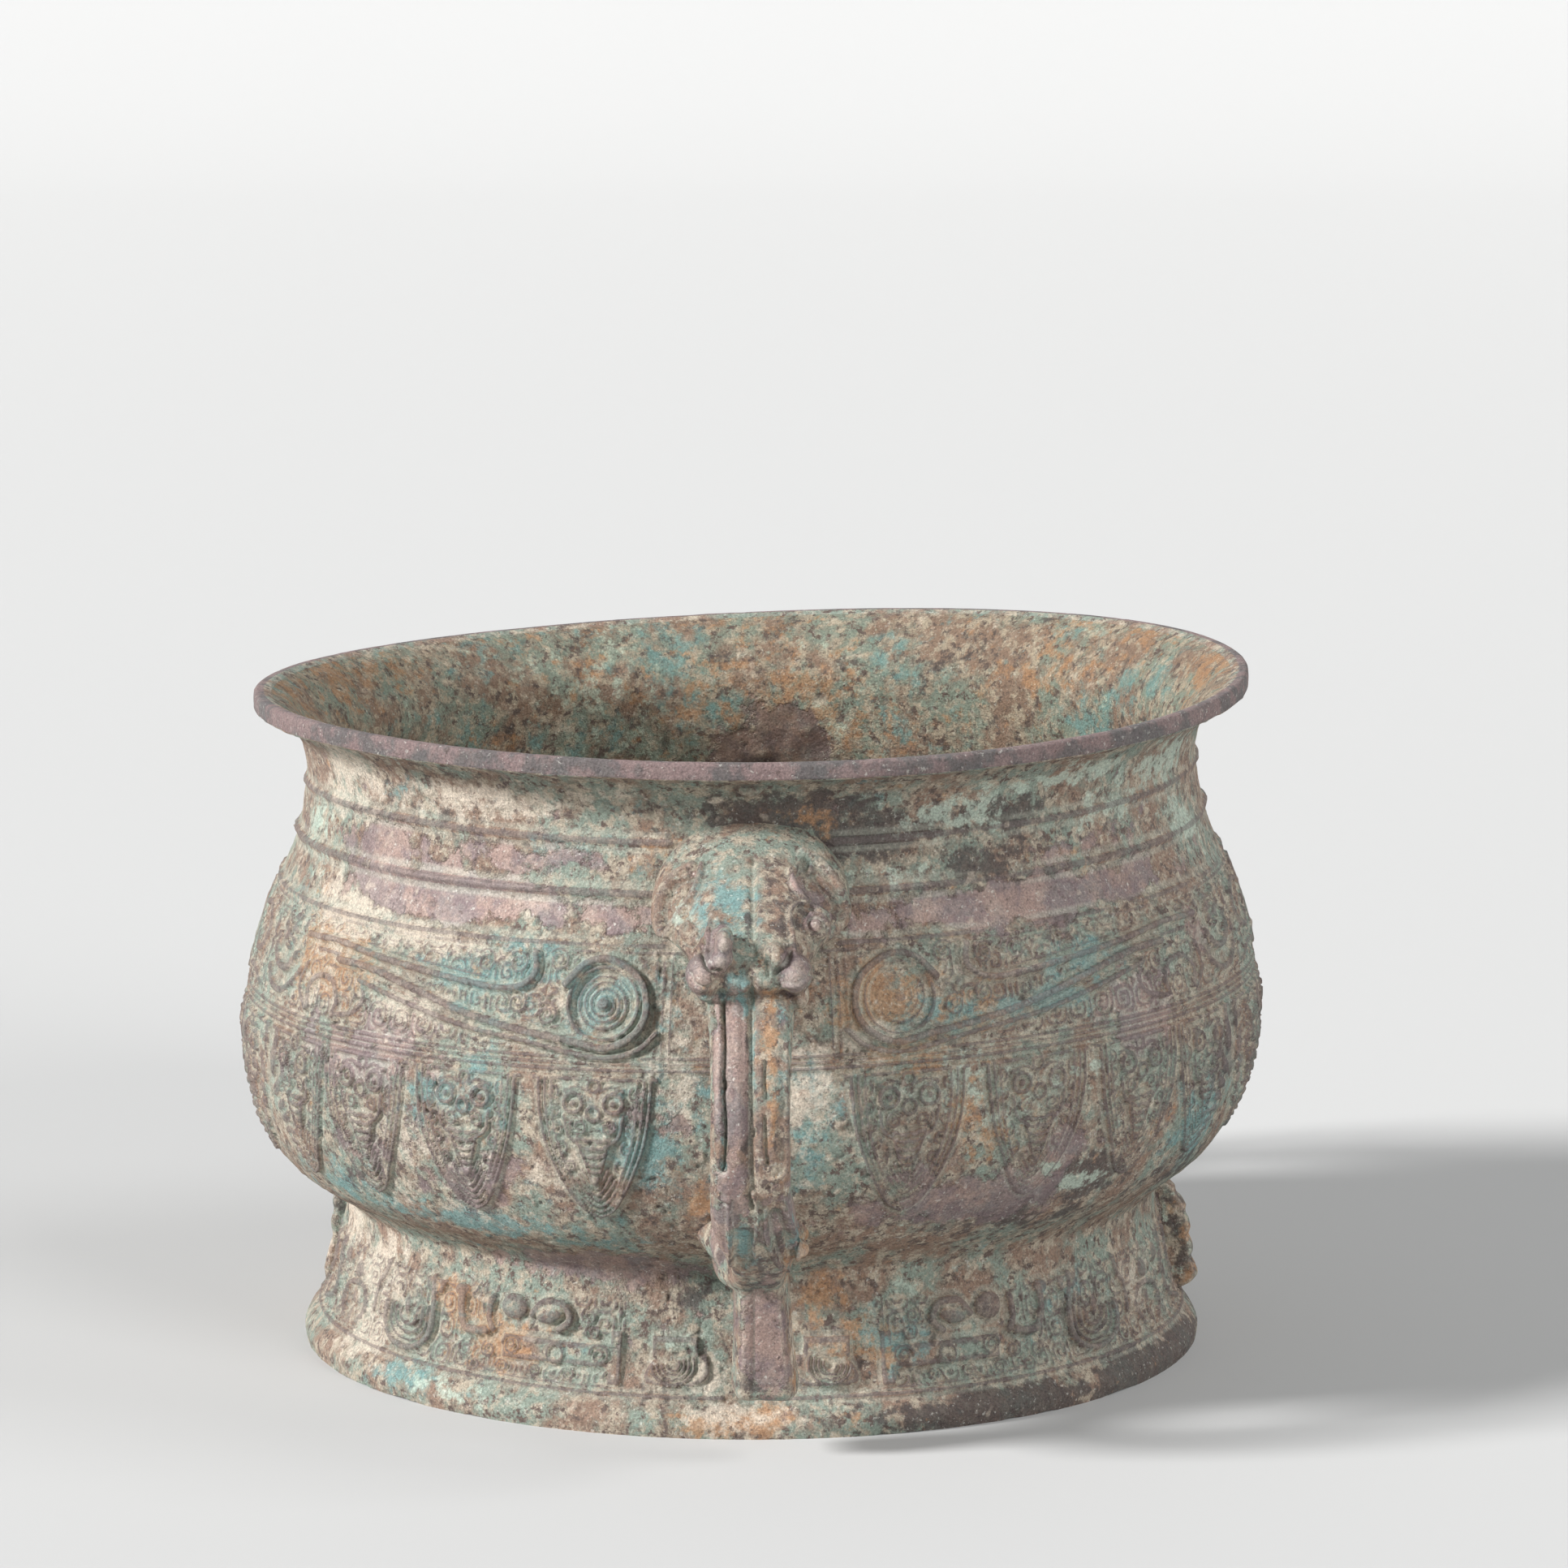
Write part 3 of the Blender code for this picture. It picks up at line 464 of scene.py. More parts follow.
# Patches of corrosion on the wall: angle, v, half width in degrees, half height in mm, strength
PATCHES = {
    "cream": [
        (-151, 148, 7, 9, 1.0), (-124, 149, 11, 4, 1.0), (-106, 153, 8, 3, 0.7), (-144, 121, 8, 8, 1.0),
        (-130, 118, 13, 3, 0.9), (-117, 127, 4, 3, 0.6), (-97, 121, 4, 10, 0.9), (-146, 102, 5, 6, 0.6),
        (-132, 102, 6, 4, 0.7), (-112, 106, 4, 4, 0.5), (-69, 115, 5, 5, 0.5), (-78, 99, 4, 6, 0.8),
        (-164, 34, 6, 10, 0.9), (-152, 27, 7, 8, 1.0), (-150, 12, 7, 7, 0.8), (-95, 13, 4, 6, 0.7),
        (-92, 5, 8, 4, 0.9), (-27, 22, 6, 7, 0.8), (-19, 7, 6, 5, 0.7), (-84, 91, 3, 12, 0.8),
        (-114, 71, 7, 6, 0.5), (-133, 76, 8, 6, 0.5), (-98, 100, 3, 14, 0.7), (-133, 60, 12, 5, 0.4),
    ],
    "ochre": [
        (-75, 107, 5, 6, 1.0), (-134, 24, 6, 6, 1.0), (-125, 18, 5, 6, 1.0), (-81, 30, 4, 7, 0.7),
        (-76, 20, 5, 6, 0.9), (-146, 109, 8, 8, 1.1), (-84, 147, 8, 4, 0.45), (-65, 104, 6, 5, 0.5),
        (-86, 114, 3, 8, 0.9), (-95, 64, 3, 5, 0.8), (-74, 95, 6, 5, 0.7), (-90, 4, 12, 3, 0.8),
        (-62, 78, 8, 8, 0.4), (-100, 140, 5, 6, 0.4), (-140, 100, 5, 4, 0.7),
    ],
    "purple": [
        (-130, 128, 17, 5, 1.25), (-143, 135, 9, 5, 1.0), (-120, 137, 9, 3, 0.8), (-54, 125, 22, 5, 1.2),
        (-46, 134, 12, 4, 0.7), (-42, 98, 7, 9, 0.9), (-64, 60, 12, 7, 0.9), (-109, 38, 12, 4, 1.0),
        (-124, 69, 12, 8, 0.7), (-104, 126, 7, 4, 0.8), (-26, 108, 6, 9, 0.6), (-137, 92, 9, 8, 0.8),
        (-36, 124, 14, 4, 0.8), (-105, 80, 8, 7, 0.4), (-48, 70, 10, 7, 0.6), (-72, 70, 6, 8, 0.5),
    ],
    "teal": [
        (-119, 112, 9, 7, 0.8), (-107, 107, 6, 9, 1.0), (-126, 87, 8, 9, 0.7), (-123, 55, 14, 5, 1.0),
        (-101, 76, 5, 9, 0.8), (-62, 103, 12, 4, 0.9), (-50, 110, 8, 5, 0.7), (-28, 67, 8, 10, 0.8),
        (-136, 5, 10, 4, 0.8), (-45, 24, 8, 7, 0.6), (-113, 139, 8, 4, 0.5), (-142, 150, 6, 5, 0.6),
        (-104, 39, 5, 4, 0.6), (-71, 22, 6, 7, 0.7), (-98, 84, 4, 14, 0.6), (-108, 50, 8, 5, 0.7),
        (-150, 60, 10, 6, 0.7), (-84, 80, 3, 12, 0.6),
    ],
    "pale": [
        (-30, 148, 12, 5, 0.9), (-50, 151, 14, 3, 0.9), (-64, 146, 8, 5, 0.7), (-66, 87, 9, 9, 0.6),
        (-100, 22, 4, 4, 0.6), (-56, 84, 8, 8, 0.6), (-130, 4, 10, 3, 0.7), (-65, 30, 7, 5, 0.6),
        (-56, 66, 5, 3, 0.8), (-22, 134, 8, 8, 0.7), (-159, 137, 6, 7, 0.9), (-49, 61, 7, 3, 0.9),
        (-78, 130, 8, 8, 0.5), (-40, 142, 10, 5, 0.8),
    ],
    "dark": [
        (-76, 143, 12, 5, 1.0), (-87, 149, 10, 6, 1.1), (-49, 61, 7, 6, 1.0), (-62, 134, 7, 5, 0.7),
        (-138, 144, 6, 4, 0.6), (-58, 145, 7, 4, 0.8), (-26, 81, 6, 12, 0.6), (-58, 52, 12, 5, 0.8),
        (-98, 30, 3, 6, 0.9), (-52, 128, 7, 3, 0.7), (-89, 133, 8, 4, 0.9), (-128, 144, 8, 4, 0.6),
        (-36, 54, 14, 5, 0.6), (-28, 3, 20, 5, 1.5), (-58, 3, 16, 4, 1.3), (-40, 20, 16, 9, 0.6),
        (-140, 62, 9, 5, 0.7),
    ],
}
REGIONS = tuple(PATCHES)
# How steeply a patch fades from its middle
PATCH_FALL = 0.7
# How much of each kind lies everywhere, and how much more towards the left
EVERYWHERE = {"cream": (0.20, 0.10), "ochre": (0.22, 0.0), "purple": (0.22, 0.0), "teal": (0.20, 0.0),
              "pale": (0.18, 0.0), "dark": (0.20, -0.06)}


def patches(theta, v, points):
    """How much of each kind of corrosion lies at each place. The unseen side mirrors the seen one."""
    seen = -np.abs(np.mod(theta + 180.0, 360.0) - 180.0)
    hidden = step_up(theta, 0.0, 20.0) * (1 - step_up(theta, 160.0, 180.0))
    found = {}
    for seed, (name, rows) in enumerate(PATCHES.items()):
        total = np.zeros(len(theta))
        for angle, height, wide, tall, strength in rows:
            d = ((seen - angle) / wide) ** 2 + ((v - height) / tall) ** 2
            total = np.maximum(total, strength * np.exp(-d * PATCH_FALL))
        ripple = layered(points, 12.0, 40 + seed * 5, 4, 0.62)
        everywhere = EVERYWHERE[name][0] + EVERYWHERE[name][1] * np.cos(np.radians(seen - 180))
        found[name] = np.clip(0.62 * total * (1 - 0.25 * hidden) + everywhere + 0.40 * ripple, 0, 1)
    return found


def blurred(grid, reach):
    """Each value averaged with its neighbours; columns wrap round."""
    total = sum(np.roll(grid, k, axis=1) for k in range(-reach, reach + 1)) / (2 * reach + 1)
    padded = np.pad(total, ((reach, reach), (0, 0)), mode="edge")
    return sum(padded[k:k + len(grid)] for k in range(2 * reach + 1)) / (2 * reach + 1)


def wall_relief(theta, v):
    """Height of the cast ornament at each place on the wall, before wear."""
    t = np.mod(theta + 90.0, 180.0)
    phi = np.minimum(t, 180.0 - t)
    band = (v > BAND_LOW) & (v < BAND_HIGH)
    h = np.where(band, MAIN.read(phi * MM_PER_DEGREE, np.clip(v, 90, 121)), 0.0)
    nearest = np.abs(phi[..., None] - BLADE_CENTRES).argmin(-1)
    x = (phi - BLADE_CENTRES[nearest]) * BLADE_MM_PER_DEGREE
    blades = (v <= BAND_LOW) & (v > BLADE_LOW) & (phi > BLADE_START)
    h = np.where(blades, BLADE.read(np.clip(x, -14.9, 14.9), np.clip(v, 56, 93)), h)
    foot = (v > FOOT_LOW) & (v < FOOT_HIGH) & (phi > FOOT_START)
    return np.where(foot, FOOT_GAIN * FOOT.read(phi * FOOT_MM_PER_DEGREE, np.clip(v, 7, 33)), h)


def turned(line, along, degrees, reach):
    """A turned surface: its radius and points, and its normal's parts outward and upward."""
    r, z = line(along)
    r2, z2 = line(along + reach)
    r1, z1 = line(along - reach)
    dr, dz = r2 - r1, z2 - z1
    length = np.hypot(dr, dz) + 1e-9
    turn = np.radians(degrees)
    return r, np.stack([r * np.cos(turn), r * np.sin(turn), z], -1), (dz / length, -dr / length)


def stood_off(plain, h, normal, degrees):
    """The points moved off the surface by h, along its normal."""
    turn = np.radians(degrees)
    return plain + np.stack([h * normal[0] * np.cos(turn), h * normal[0] * np.sin(turn), h * normal[1]], -1)


def outer_rows(theta, v):
    """Points and values of the outer wall over a grid of angles and lengths."""
    T, V = np.meshgrid(theta, v)
    _, plain, normal = turned(outline, V, T, 0.15)
    flat = plain.reshape(-1, 3)
    t, vv = T.ravel(), V.ravel()
    kinds = patches(t, vv, flat)
    crust = np.maximum(kinds["cream"], kinds["ochre"])
    rim = step_up(vv, 163.0, 164.5)
    wear = np.clip(1.02 + 0.36 * layered(flat, 17.0, 3, 3) - 0.16 * crust, 0.4, 1.1)
    # The right coil and a place low on the right of the belly are worn more
    wear *= 1 - 0.75 * np.exp(-((t + 74.5) / 5.5) ** 2 - ((vv - 108) / 8.5) ** 2)
    wear *= 1 - 0.7 * np.exp(-((t + 52) / 9) ** 2 - ((vv - 62) / 6) ** 2)
    cast = wall_relief(T, V)
    faded = 0.25 + 0.75 * step_up(layered(flat, 26.0, 7, 3), -0.30, 0.25).reshape(T.shape)
    for line, wide, rise in ((142.0, 2.0, 0.95), (131.0, 2.2, 1.15), (119.6, 2.0, 1.05)):
        clear_of_handle = step_up(np.abs(np.mod(T, 180.0) - 90.0), 9.0, 10.5)
        cast += faded * rise * np.exp(-((V - line) / (wide / 2)) ** 2 * 1.6) * clear_of_handle
    h = cast.ravel() * wear
    calm = 1 - 0.75 * rim
    h += 0.26 * layered(flat, 15.0, 5, 3) * calm
    h += crust * 0.32 * np.clip(layered(flat, 3.2, 9, 3) + 0.15, 0, 1) * calm * 2.0
    h += 0.11 * layered(flat, 1.3, 13, 2) * calm
    lumps = np.clip(noise(flat, 2.6, 21) - 0.72, 0, 1) * 2.4
    pits = np.clip(noise(flat, 1.7, 23) - 0.66, 0, 1) * 1.7
    h += (lumps * (0.4 + crust) - pits) * calm
    h -= 0.25 * rim * (1 - step_up(vv, 168.5, 171.5))
    # A small nub with a dimple, just under the rim at the front
    nub = np.hypot((t + 90.2) / 1.5, (vv - 155.6) / 1.0)
    dimple = np.hypot((t + 89.9) / 0.7, (vv - 155.8) / 0.5)
    h += 1.3 * (1 - step_up(nub, 0.7, 1.1)) - 0.7 * (1 - step_up(dimple, 0.6, 1.1))
    top = step_up(vv, 167.5, 168.5) * (1 - step_up(vv, 170.0, 171.5))
    h = np.where(top > 0, np.minimum(h, -0.05 * top), h)
    h = h.reshape(T.shape)
    p = stood_off(plain, h, normal, T)
    low = 1 - step_up(V, 0.0, 4.0)
    chips = 0.9 * np.clip(layered(flat, 7.0, 31, 3), 0, 1).reshape(T.shape)
    p[..., 2] = np.maximum(p[..., 2] + low * chips, 0.0)
    p[..., 0] = np.clip(p[..., 0], -WIDEST, WIDEST)
    worn = cast * wear.reshape(T.shape)
    wear_highlight_and_shade = h - worn
    # The fine bumps less their local mean: lumps painted lighter, partly crust and partly a painted
    # highlight, and pits painted with shade
    values = {"crest": np.clip((worn - blurred(worn, 3)) * 2.4, -1, 1),
              "wear_highlight_and_shade": np.clip((wear_highlight_and_shade - blurred(wear_highlight_and_shade, 3)) * 4.0, -1, 1)}
    values.update({name: kinds[name].reshape(T.shape) for name in REGIONS})
    values["rim"] = (rim * (1 - step_up(vv, 169.2, 171.0))).reshape(T.shape)
    values["inside"] = np.zeros(T.shape)
    return settled(p), values


# The inside of the bowl, from the lip down to the middle of the floor: length, radius and height
INNER_LIP = [(107.2, 147.9), (104.4, 146.2), (100.9, 142.6), (97.3, 137.8)]
INNER_WALL = [(radius_at(z) - WALL, z) for z in np.arange(134.0, 41.0, -3.0)]
INNER_FLOOR = [
    (92.5, 38.6), (87.0, 36.9), (78.0, 35.9), (60.0, 35.0), (40.0, 34.3), (20.0, 33.9), (1.2, 33.8),
]
INNER = np.array(INNER_LIP + INNER_WALL + INNER_FLOOR)
INNER_STEPS = np.hypot(*np.diff(INNER, axis=0).T)
INNER = np.column_stack([np.concatenate([[0], np.cumsum(INNER_STEPS)]), INNER])
INNER_END = INNER[-1, 0]


def inner_line(w):
    return line_through(INNER[:, 0], INNER[:, 1], w), line_through(INNER[:, 0], INNER[:, 2], w)


def inner_rows(theta, w):
    """Points and values of the inside, from the lip at w = 0 to the floor's middle."""
    T, W = np.meshgrid(theta, w)
    r, plain, normal = turned(inner_line, W, T, 0.3)
    flat = plain.reshape(-1, 3)
    lip = step_up(W.ravel(), 0.0, 3.0)
    t, w1 = T.ravel(), W.ravel()
    # A rough, dark scar on the inside, across from the camera
    scar = np.exp(-((t - 86) / 9) ** 2 - ((w1 - 40) / 20) ** 2)
    h = 0.55 * layered(flat, 13.0, 51, 3) + 0.5 * layered(flat, 5.0, 55, 3)
    h += 0.9 * np.clip(noise(flat, 3.6, 57) - 0.45, 0, 1)
    h -= 1.5 * np.clip(noise(flat, 4.5, 59) - 0.62, 0, 1)
    h += scar * (0.8 * layered(flat, 4.5, 61, 3) - 0.5)
    h += 0.16 * layered(flat, 1.6, 65, 2)
    off_axis = step_up(r, 1.0, 12.0)
    h = (h * lip).reshape(T.shape) * off_axis
    p = stood_off(plain, h, normal, T)
    # The inside's fine bumps less their local mean: lumps painted lighter, partly crust and partly a painted
    # highlight, and pits painted with shade
    values = {"crest": np.zeros(T.shape), "wear_highlight_and_shade": np.clip((h - blurred(h, 2)) * 2.0, -1, 1)}
    mixed = {
        "cream": 0.30 + 0.55 * layered(flat, 16, 71, 4, 0.6),
        "ochre": 0.42 + 0.60 * layered(flat, 20, 73, 4, 0.6),
        "purple": 0.10 + 0.50 * layered(flat, 18, 75, 4, 0.6) + 0.9 * scar,
        "teal": 0.36 + 0.60 * layered(flat, 15, 77, 4, 0.6),
        "pale": 0.25 + 0.55 * layered(flat, 17, 79, 4, 0.6),
        "dark": 0.22 + 0.60 * layered(flat, 12, 81, 4, 0.6) + 1.4 * np.clip(noise(flat, 11, 83) - 0.55, 0, 1),
    }
    for name in REGIONS:
        values[name] = np.clip(mixed[name], 0, 1).reshape(T.shape)
    values["rim"] = np.zeros(T.shape)
    values["inside"] = np.ones(T.shape)
    return settled(p), values


# The hollow of the foot and the bowl's underside: length in from the foot's edge, radius and height
UNDERSIDE = np.array([
    (0, 96.1, 0.0), (6, 95.0, 5.0), (13, 91.6, 11.0), (22, 89.0, 19.0), (29, 87.6, 26.0), (34, 84.0, 29.8),
    (45, 73.0, 30.6), (70, 48.0, 29.9), (117, 1.2, 29.2),
])


def underside_rows(theta, w):
    """The inside of the foot and the bowl's underside, from the foot's edge to the middle."""
    T, W = np.meshgrid(theta, w)
    r, z = (line_through(UNDERSIDE[:, 0], UNDERSIDE[:, k], W) for k in (1, 2))
    turn = np.radians(T)
    p = np.stack([r * np.cos(turn), r * np.sin(turn), z], -1)
    flat = p.reshape(-1, 3)
    rough = 0.35 * layered(flat, 9.0, 91, 3).reshape(T.shape) * step_up(W, 0, 4) * step_up(r, 1, 10)
    p[..., 2] += rough * step_up(W, 30, 40)
    p[..., 0] += rough * np.cos(turn) * (1 - step_up(W, 25, 34))
    p[..., 1] += rough * np.sin(turn) * (1 - step_up(W, 25, 34))
    values = {name: np.clip(0.3 + 0.5 * layered(flat, 15, 95 + k, 3), 0, 1).reshape(T.shape)
              for k, name in enumerate(REGIONS)}
    for name in ("crest", "rim", "wear_highlight_and_shade"):
        values[name] = np.zeros(T.shape)
    values["inside"] = np.ones(T.shape)
    return settled(p), values


ATTRIBUTES = ("crest", "wear_highlight_and_shade", "rim", "inside") + REGIONS


class Shell:
    """Collects rings of points, the skins between them and their values, and makes one mesh."""

    def __init__(self):
        self.points, self.faces, self.sharp = [], [], []
        self.values = {name: [] for name in ATTRIBUTES}
        self.count = 0

    def rows(self, made):
        points, values = made
        shape = points.shape[:2]
        self.points.append(points.reshape(-1, 3))
        for name in ATTRIBUTES:
            self.values[name].append(np.broadcast_to(values[name], shape).ravel())
        index = np.arange(shape[0] * shape[1]).reshape(shape) + self.count
        self.count += shape[0] * shape[1]
        return index

    def skin(self, index, flip=False):
        a, b = index[:-1], index[1:]
        quads = np.stack([a, np.roll(a, -1, 1), np.roll(b, -1, 1), b], -1).reshape(-1, 4)
        self.faces += (quads[:, ::-1] if flip else quads).tolist()

    def turns(self, ring):
        """How far round each point of a ring is from the first column, in degrees."""
        points = np.concatenate(self.points)[ring]
        return np.mod(np.round(np.degrees(np.arctan2(points[:, 1], points[:, 0])) - FIRST_COLUMN, 3), 360.0)

    def zip(self, low, high, flip=False):
        """Joins two closed rings with different numbers of points, both starting at the first column."""
        n, m = len(low), len(high)
        a = np.append(self.turns(low), [360.0, 720.0])
        b = np.append(self.turns(high), [360.0, 720.0])
        i = j = 0
        while i < n or j < m:
            if j >= m or (i < n and a[i + 1] <= b[j + 1]):
                face = [low[i % n], low[(i + 1) % n], high[j % m]]
                i += 1
            else:
                face = [low[i % n], high[(j + 1) % m], high[j % m]]
                j += 1
            self.faces.append([int(k) for k in (face[::-1] if flip else face)])

    def crease(self, ring):
        self.sharp += [(int(a), int(b)) for a, b in zip(ring, np.roll(ring, -1))]

    def cap(self, ring, flip=False):
        ring = [int(k) for k in ring]
        self.faces.append(ring[::-1] if flip else ring)

    def mesh(self, name):
        points = np.concatenate(self.points)
        values = {key: np.concatenate(rows) for key, rows in self.values.items()}
        return make_piece(name, points, self.faces, values, self.sharp)


def make_piece(name, points, faces, values, sharp=()):
    mesh = bpy.data.meshes.new(name)
    mesh.from_pydata((points / 1000.0).tolist(), [], faces)
    for key in ATTRIBUTES:
        layer = mesh.attributes.new(key, "FLOAT", "POINT")
        layer.data.foreach_set("value", np.asarray(values[key], np.float32))
    mesh.shade_smooth()
    if sharp:
        wanted = {tuple(sorted(pair)) for pair in sharp}
        ends = np.empty(len(mesh.edges) * 2, np.int32)
        mesh.edges.foreach_get("vertices", ends)
        ends = np.sort(ends.reshape(-1, 2), axis=1)
        keys = ends[:, 0].astype(np.int64) * len(points) + ends[:, 1]
        chosen = np.array([a * len(points) + b for a, b in wanted], np.int64)
        layer = mesh.attributes.new("sharp_edge", "BOOLEAN", "EDGE")
        layer.data.foreach_set("value", np.isin(keys, chosen))
    thing = bpy.data.objects.new(name, mesh)
    bpy.context.scene.collection.objects.link(thing)
    mesh.materials.append(bronze)
    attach(thing, "root")
    return thing


# Angles of the columns: finest on the front, where the photograph looks
FIRST_COLUMN, FRONT_END, LAST_COLUMN = -152.0, -28.0, 208.0
FRONT_COLUMNS = np.linspace(FIRST_COLUMN, FRONT_END, 661)[:-1]
OTHER_COLUMNS = np.linspace(FRONT_END, LAST_COLUMN, 421)[:-1]
FINE = np.concatenate([FRONT_COLUMNS, OTHER_COLUMNS])
COARSE = FINE[::2]
INSIDE = np.linspace(FIRST_COLUMN, LAST_COLUMN, 481)[:-1]


def rows_between(low, high, count):
    return np.linspace(low, high, count + 1)


def inner_length(z):
    """Where the inside passes a height on its way down."""
    order = np.argsort(INNER[:-6, 2])
    return float(np.interp(z, INNER[:-6, 2][order], INNER[:-6, 0][order]))


# Where the wall's pieces meet along the outside, where the lip starts, and the gap from a joint to fine rows
JOINTS = {"top": 119.2, "middle": 92.0, "low": 57.2, "foot": 35.6}
LIP_START, JOINT_GAP = 162.0, 0.35
# How far in from the foot's edge the foot's piece meets the bowl's bottom, and the middle of the underside
UNDER_JOINT, UNDER_END = 30.0, 117.0
JOINT_W = {key: inner_length(outline(np.array([v]))[1][0] - 2.0)
           for key, v in JOINTS.items() if key != "foot"}


def wall_band(name, low, high, fine_rows):
    """A band of wall, outside and inside, closed by cut faces at its joints with its neighbours."""
    shell = Shell()
    v0, v1 = JOINTS[low], JOINTS[high]
    edge_low = shell.rows(outer_rows(COARSE, np.array([v0])))[0]
    grid = shell.rows(outer_rows(FINE, rows_between(v0 + JOINT_GAP, v1 - JOINT_GAP, fine_rows)))
    edge_high = shell.rows(outer_rows(COARSE, np.array([v1])))[0]
    shell.zip(edge_low, grid[0])
    shell.skin(grid)
    shell.zip(grid[-1], edge_high)
    w0, w1 = JOINT_W[low], JOINT_W[high]
    inner = shell.rows(inner_rows(INSIDE, np.linspace(w1, w0, max(int((w0 - w1) / 1.3), 2) + 1)))
    shell.skin(inner)
    shell.zip(edge_high, inner[0])
    shell.zip(inner[-1], edge_low)
    for ring in (edge_low, edge_high, inner[0], inner[-1]):
        shell.crease(ring)
    return shell.mesh(name)


def rim_and_neck():
    shell = Shell()
    v = np.concatenate([rows_between(JOINTS["top"], LIP_START, 66)[:-1], rows_between(LIP_START, LIP_V, 24)])
    outer = shell.rows(outer_rows(COARSE, v))
    shell.skin(outer)
    inner = shell.rows(inner_rows(INSIDE, np.linspace(0.35, JOINT_W["top"], 34)))
    shell.zip(outer[-1], inner[0])
    shell.skin(inner)
    shell.zip(inner[-1], outer[0])
    shell.crease(outer[0])
    shell.crease(inner[-1])
    return shell.mesh("rim_and_neck")


def bowl_bottom():
    shell = Shell()
    outer = shell.rows(outer_rows(COARSE, rows_between(JOINTS["foot"], JOINTS["low"], 34)))
    shell.skin(outer)
    inner = shell.rows(inner_rows(INSIDE[::2], np.linspace(JOINT_W["low"], INNER_END, 60)))
    shell.skin(inner)
    shell.cap(inner[-1])
    ring = shell.rows(inner_rows(INSIDE, np.array([JOINT_W["low"]])))[0]
    shell.zip(outer[-1], ring)
    shell.zip(ring, inner[0])
    under = shell.rows(underside_rows(INSIDE[::2], np.linspace(UNDER_JOINT, UNDER_END, 30)))
    shell.skin(under, flip=True)
    shell.cap(under[-1], flip=True)
    shell.zip(under[0], outer[0])
    for edge in (outer[0], outer[-1], ring, under[0]):
        shell.crease(edge)
    return shell.mesh("bowl_bottom")


def ring_foot():
    shell = Shell()
    edge = shell.rows(outer_rows(COARSE, rows_between(0.0, 7.0, 12)))
    grid = shell.rows(outer_rows(FINE, rows_between(7.45, 32.0, 52)))
    top = shell.rows(outer_rows(COARSE, rows_between(32.45, JOINTS["foot"], 6)))
    for rows in (edge, grid, top):
        shell.skin(rows)
    shell.zip(edge[-1], grid[0])
    shell.zip(grid[-1], top[0])
    under = shell.rows(underside_rows(INSIDE[::2], np.linspace(0.0, UNDER_JOINT, 16)))
    shell.skin(under, flip=True)
    shell.zip(under[0], edge[0])
    shell.zip(top[-1], under[-1])
    for ring in (edge[0], top[-1], under[0], under[-1]):
        shell.crease(ring)
    return shell.mesh("ring_foot")


# The bronze: layers of corrosion, each with its own colour, laid by the values on the mesh and finer noise.
# It also holds painted light: painted shade inside the bowl, in pits and creases and beside some grooves on
# the handles, and a painted highlight on raised edges

bronze = bpy.data.materials.new("bronze")
bronze.use_nodes = True
tree = bronze.node_tree
shader = tree.nodes["Principled BSDF"]


def node(kind, **inputs):
    made = tree.nodes.new(kind)
    for key, value in inputs.items():
        socket = made.inputs[key.replace("_", " ")]
        if isinstance(value, bpy.types.NodeSocket):
            tree.links.new(value, socket)
        else:
            socket.default_value = value
    return made


place = tree.nodes.new("ShaderNodeTexCoord").outputs["Object"]


def grain(size, detail, rough, seed):
    """Noise with forms about this many millimetres across, from 0 to 1."""
    mapped = node("ShaderNodeMapping", Vector=place)
    mapped.inputs["Location"].default_value = (seed * 0.371, seed * 0.113, seed * 0.257)
    made = node("ShaderNodeTexNoise", Vector=mapped.outputs["Vector"], Scale=1000.0 / size, Detail=detail,
                Roughness=rough)
    return made.outputs["Fac"]


def value(name):
    made = tree.nodes.new("ShaderNodeAttribute")
    made.attribute_name = name
    return made.outputs["Fac"]


def maths(operation, a, b=None, clamp=False):
    made = tree.nodes.new("ShaderNodeMath")
    made.operation, made.use_clamp = operation, clamp
    for socket, given in zip(made.inputs, (a, b)):
        if given is None:
            continue
        if isinstance(given, bpy.types.NodeSocket):
            tree.links.new(given, socket)
        else:
            socket.default_value = given
    return made.outputs[0]


def times(a, b):
    return maths("MULTIPLY", a, b)


def ramp(source, low, high):
    made = tree.nodes.new("ShaderNodeMapRange")
    made.interpolation_type = "SMOOTHSTEP"
    tree.links.new(source, made.inputs["Value"])
    made.inputs["From Min"].default_value, made.inputs["From Max"].default_value = low, high
    return made.outputs["Result"]


def mix(fac, a, b, how="MIX"):
    made = tree.nodes.new("ShaderNodeMix")
    made.data_type, made.blend_type = "RGBA", how
    for socket, given in ((made.inputs[0], fac), (made.inputs[6], a), (made.inputs[7], b)):
        if isinstance(given, bpy.types.NodeSocket):
            tree.links.new(given, socket)
        elif isinstance(given, (tuple, list)):
            socket.default_value = (*given, 1.0)
        else:
            socket.default_value = given
    return made.outputs[2]


def laid(amount, low, high, size, seed, spread):
    """Where a layer lies: its value on the mesh, broken up by noise into patches with crisp edges."""
    broken = maths("ADD", amount, times(maths("SUBTRACT", grain(size, 6.0, 0.68, seed), 0.5), spread))
    return ramp(broken, low, high)


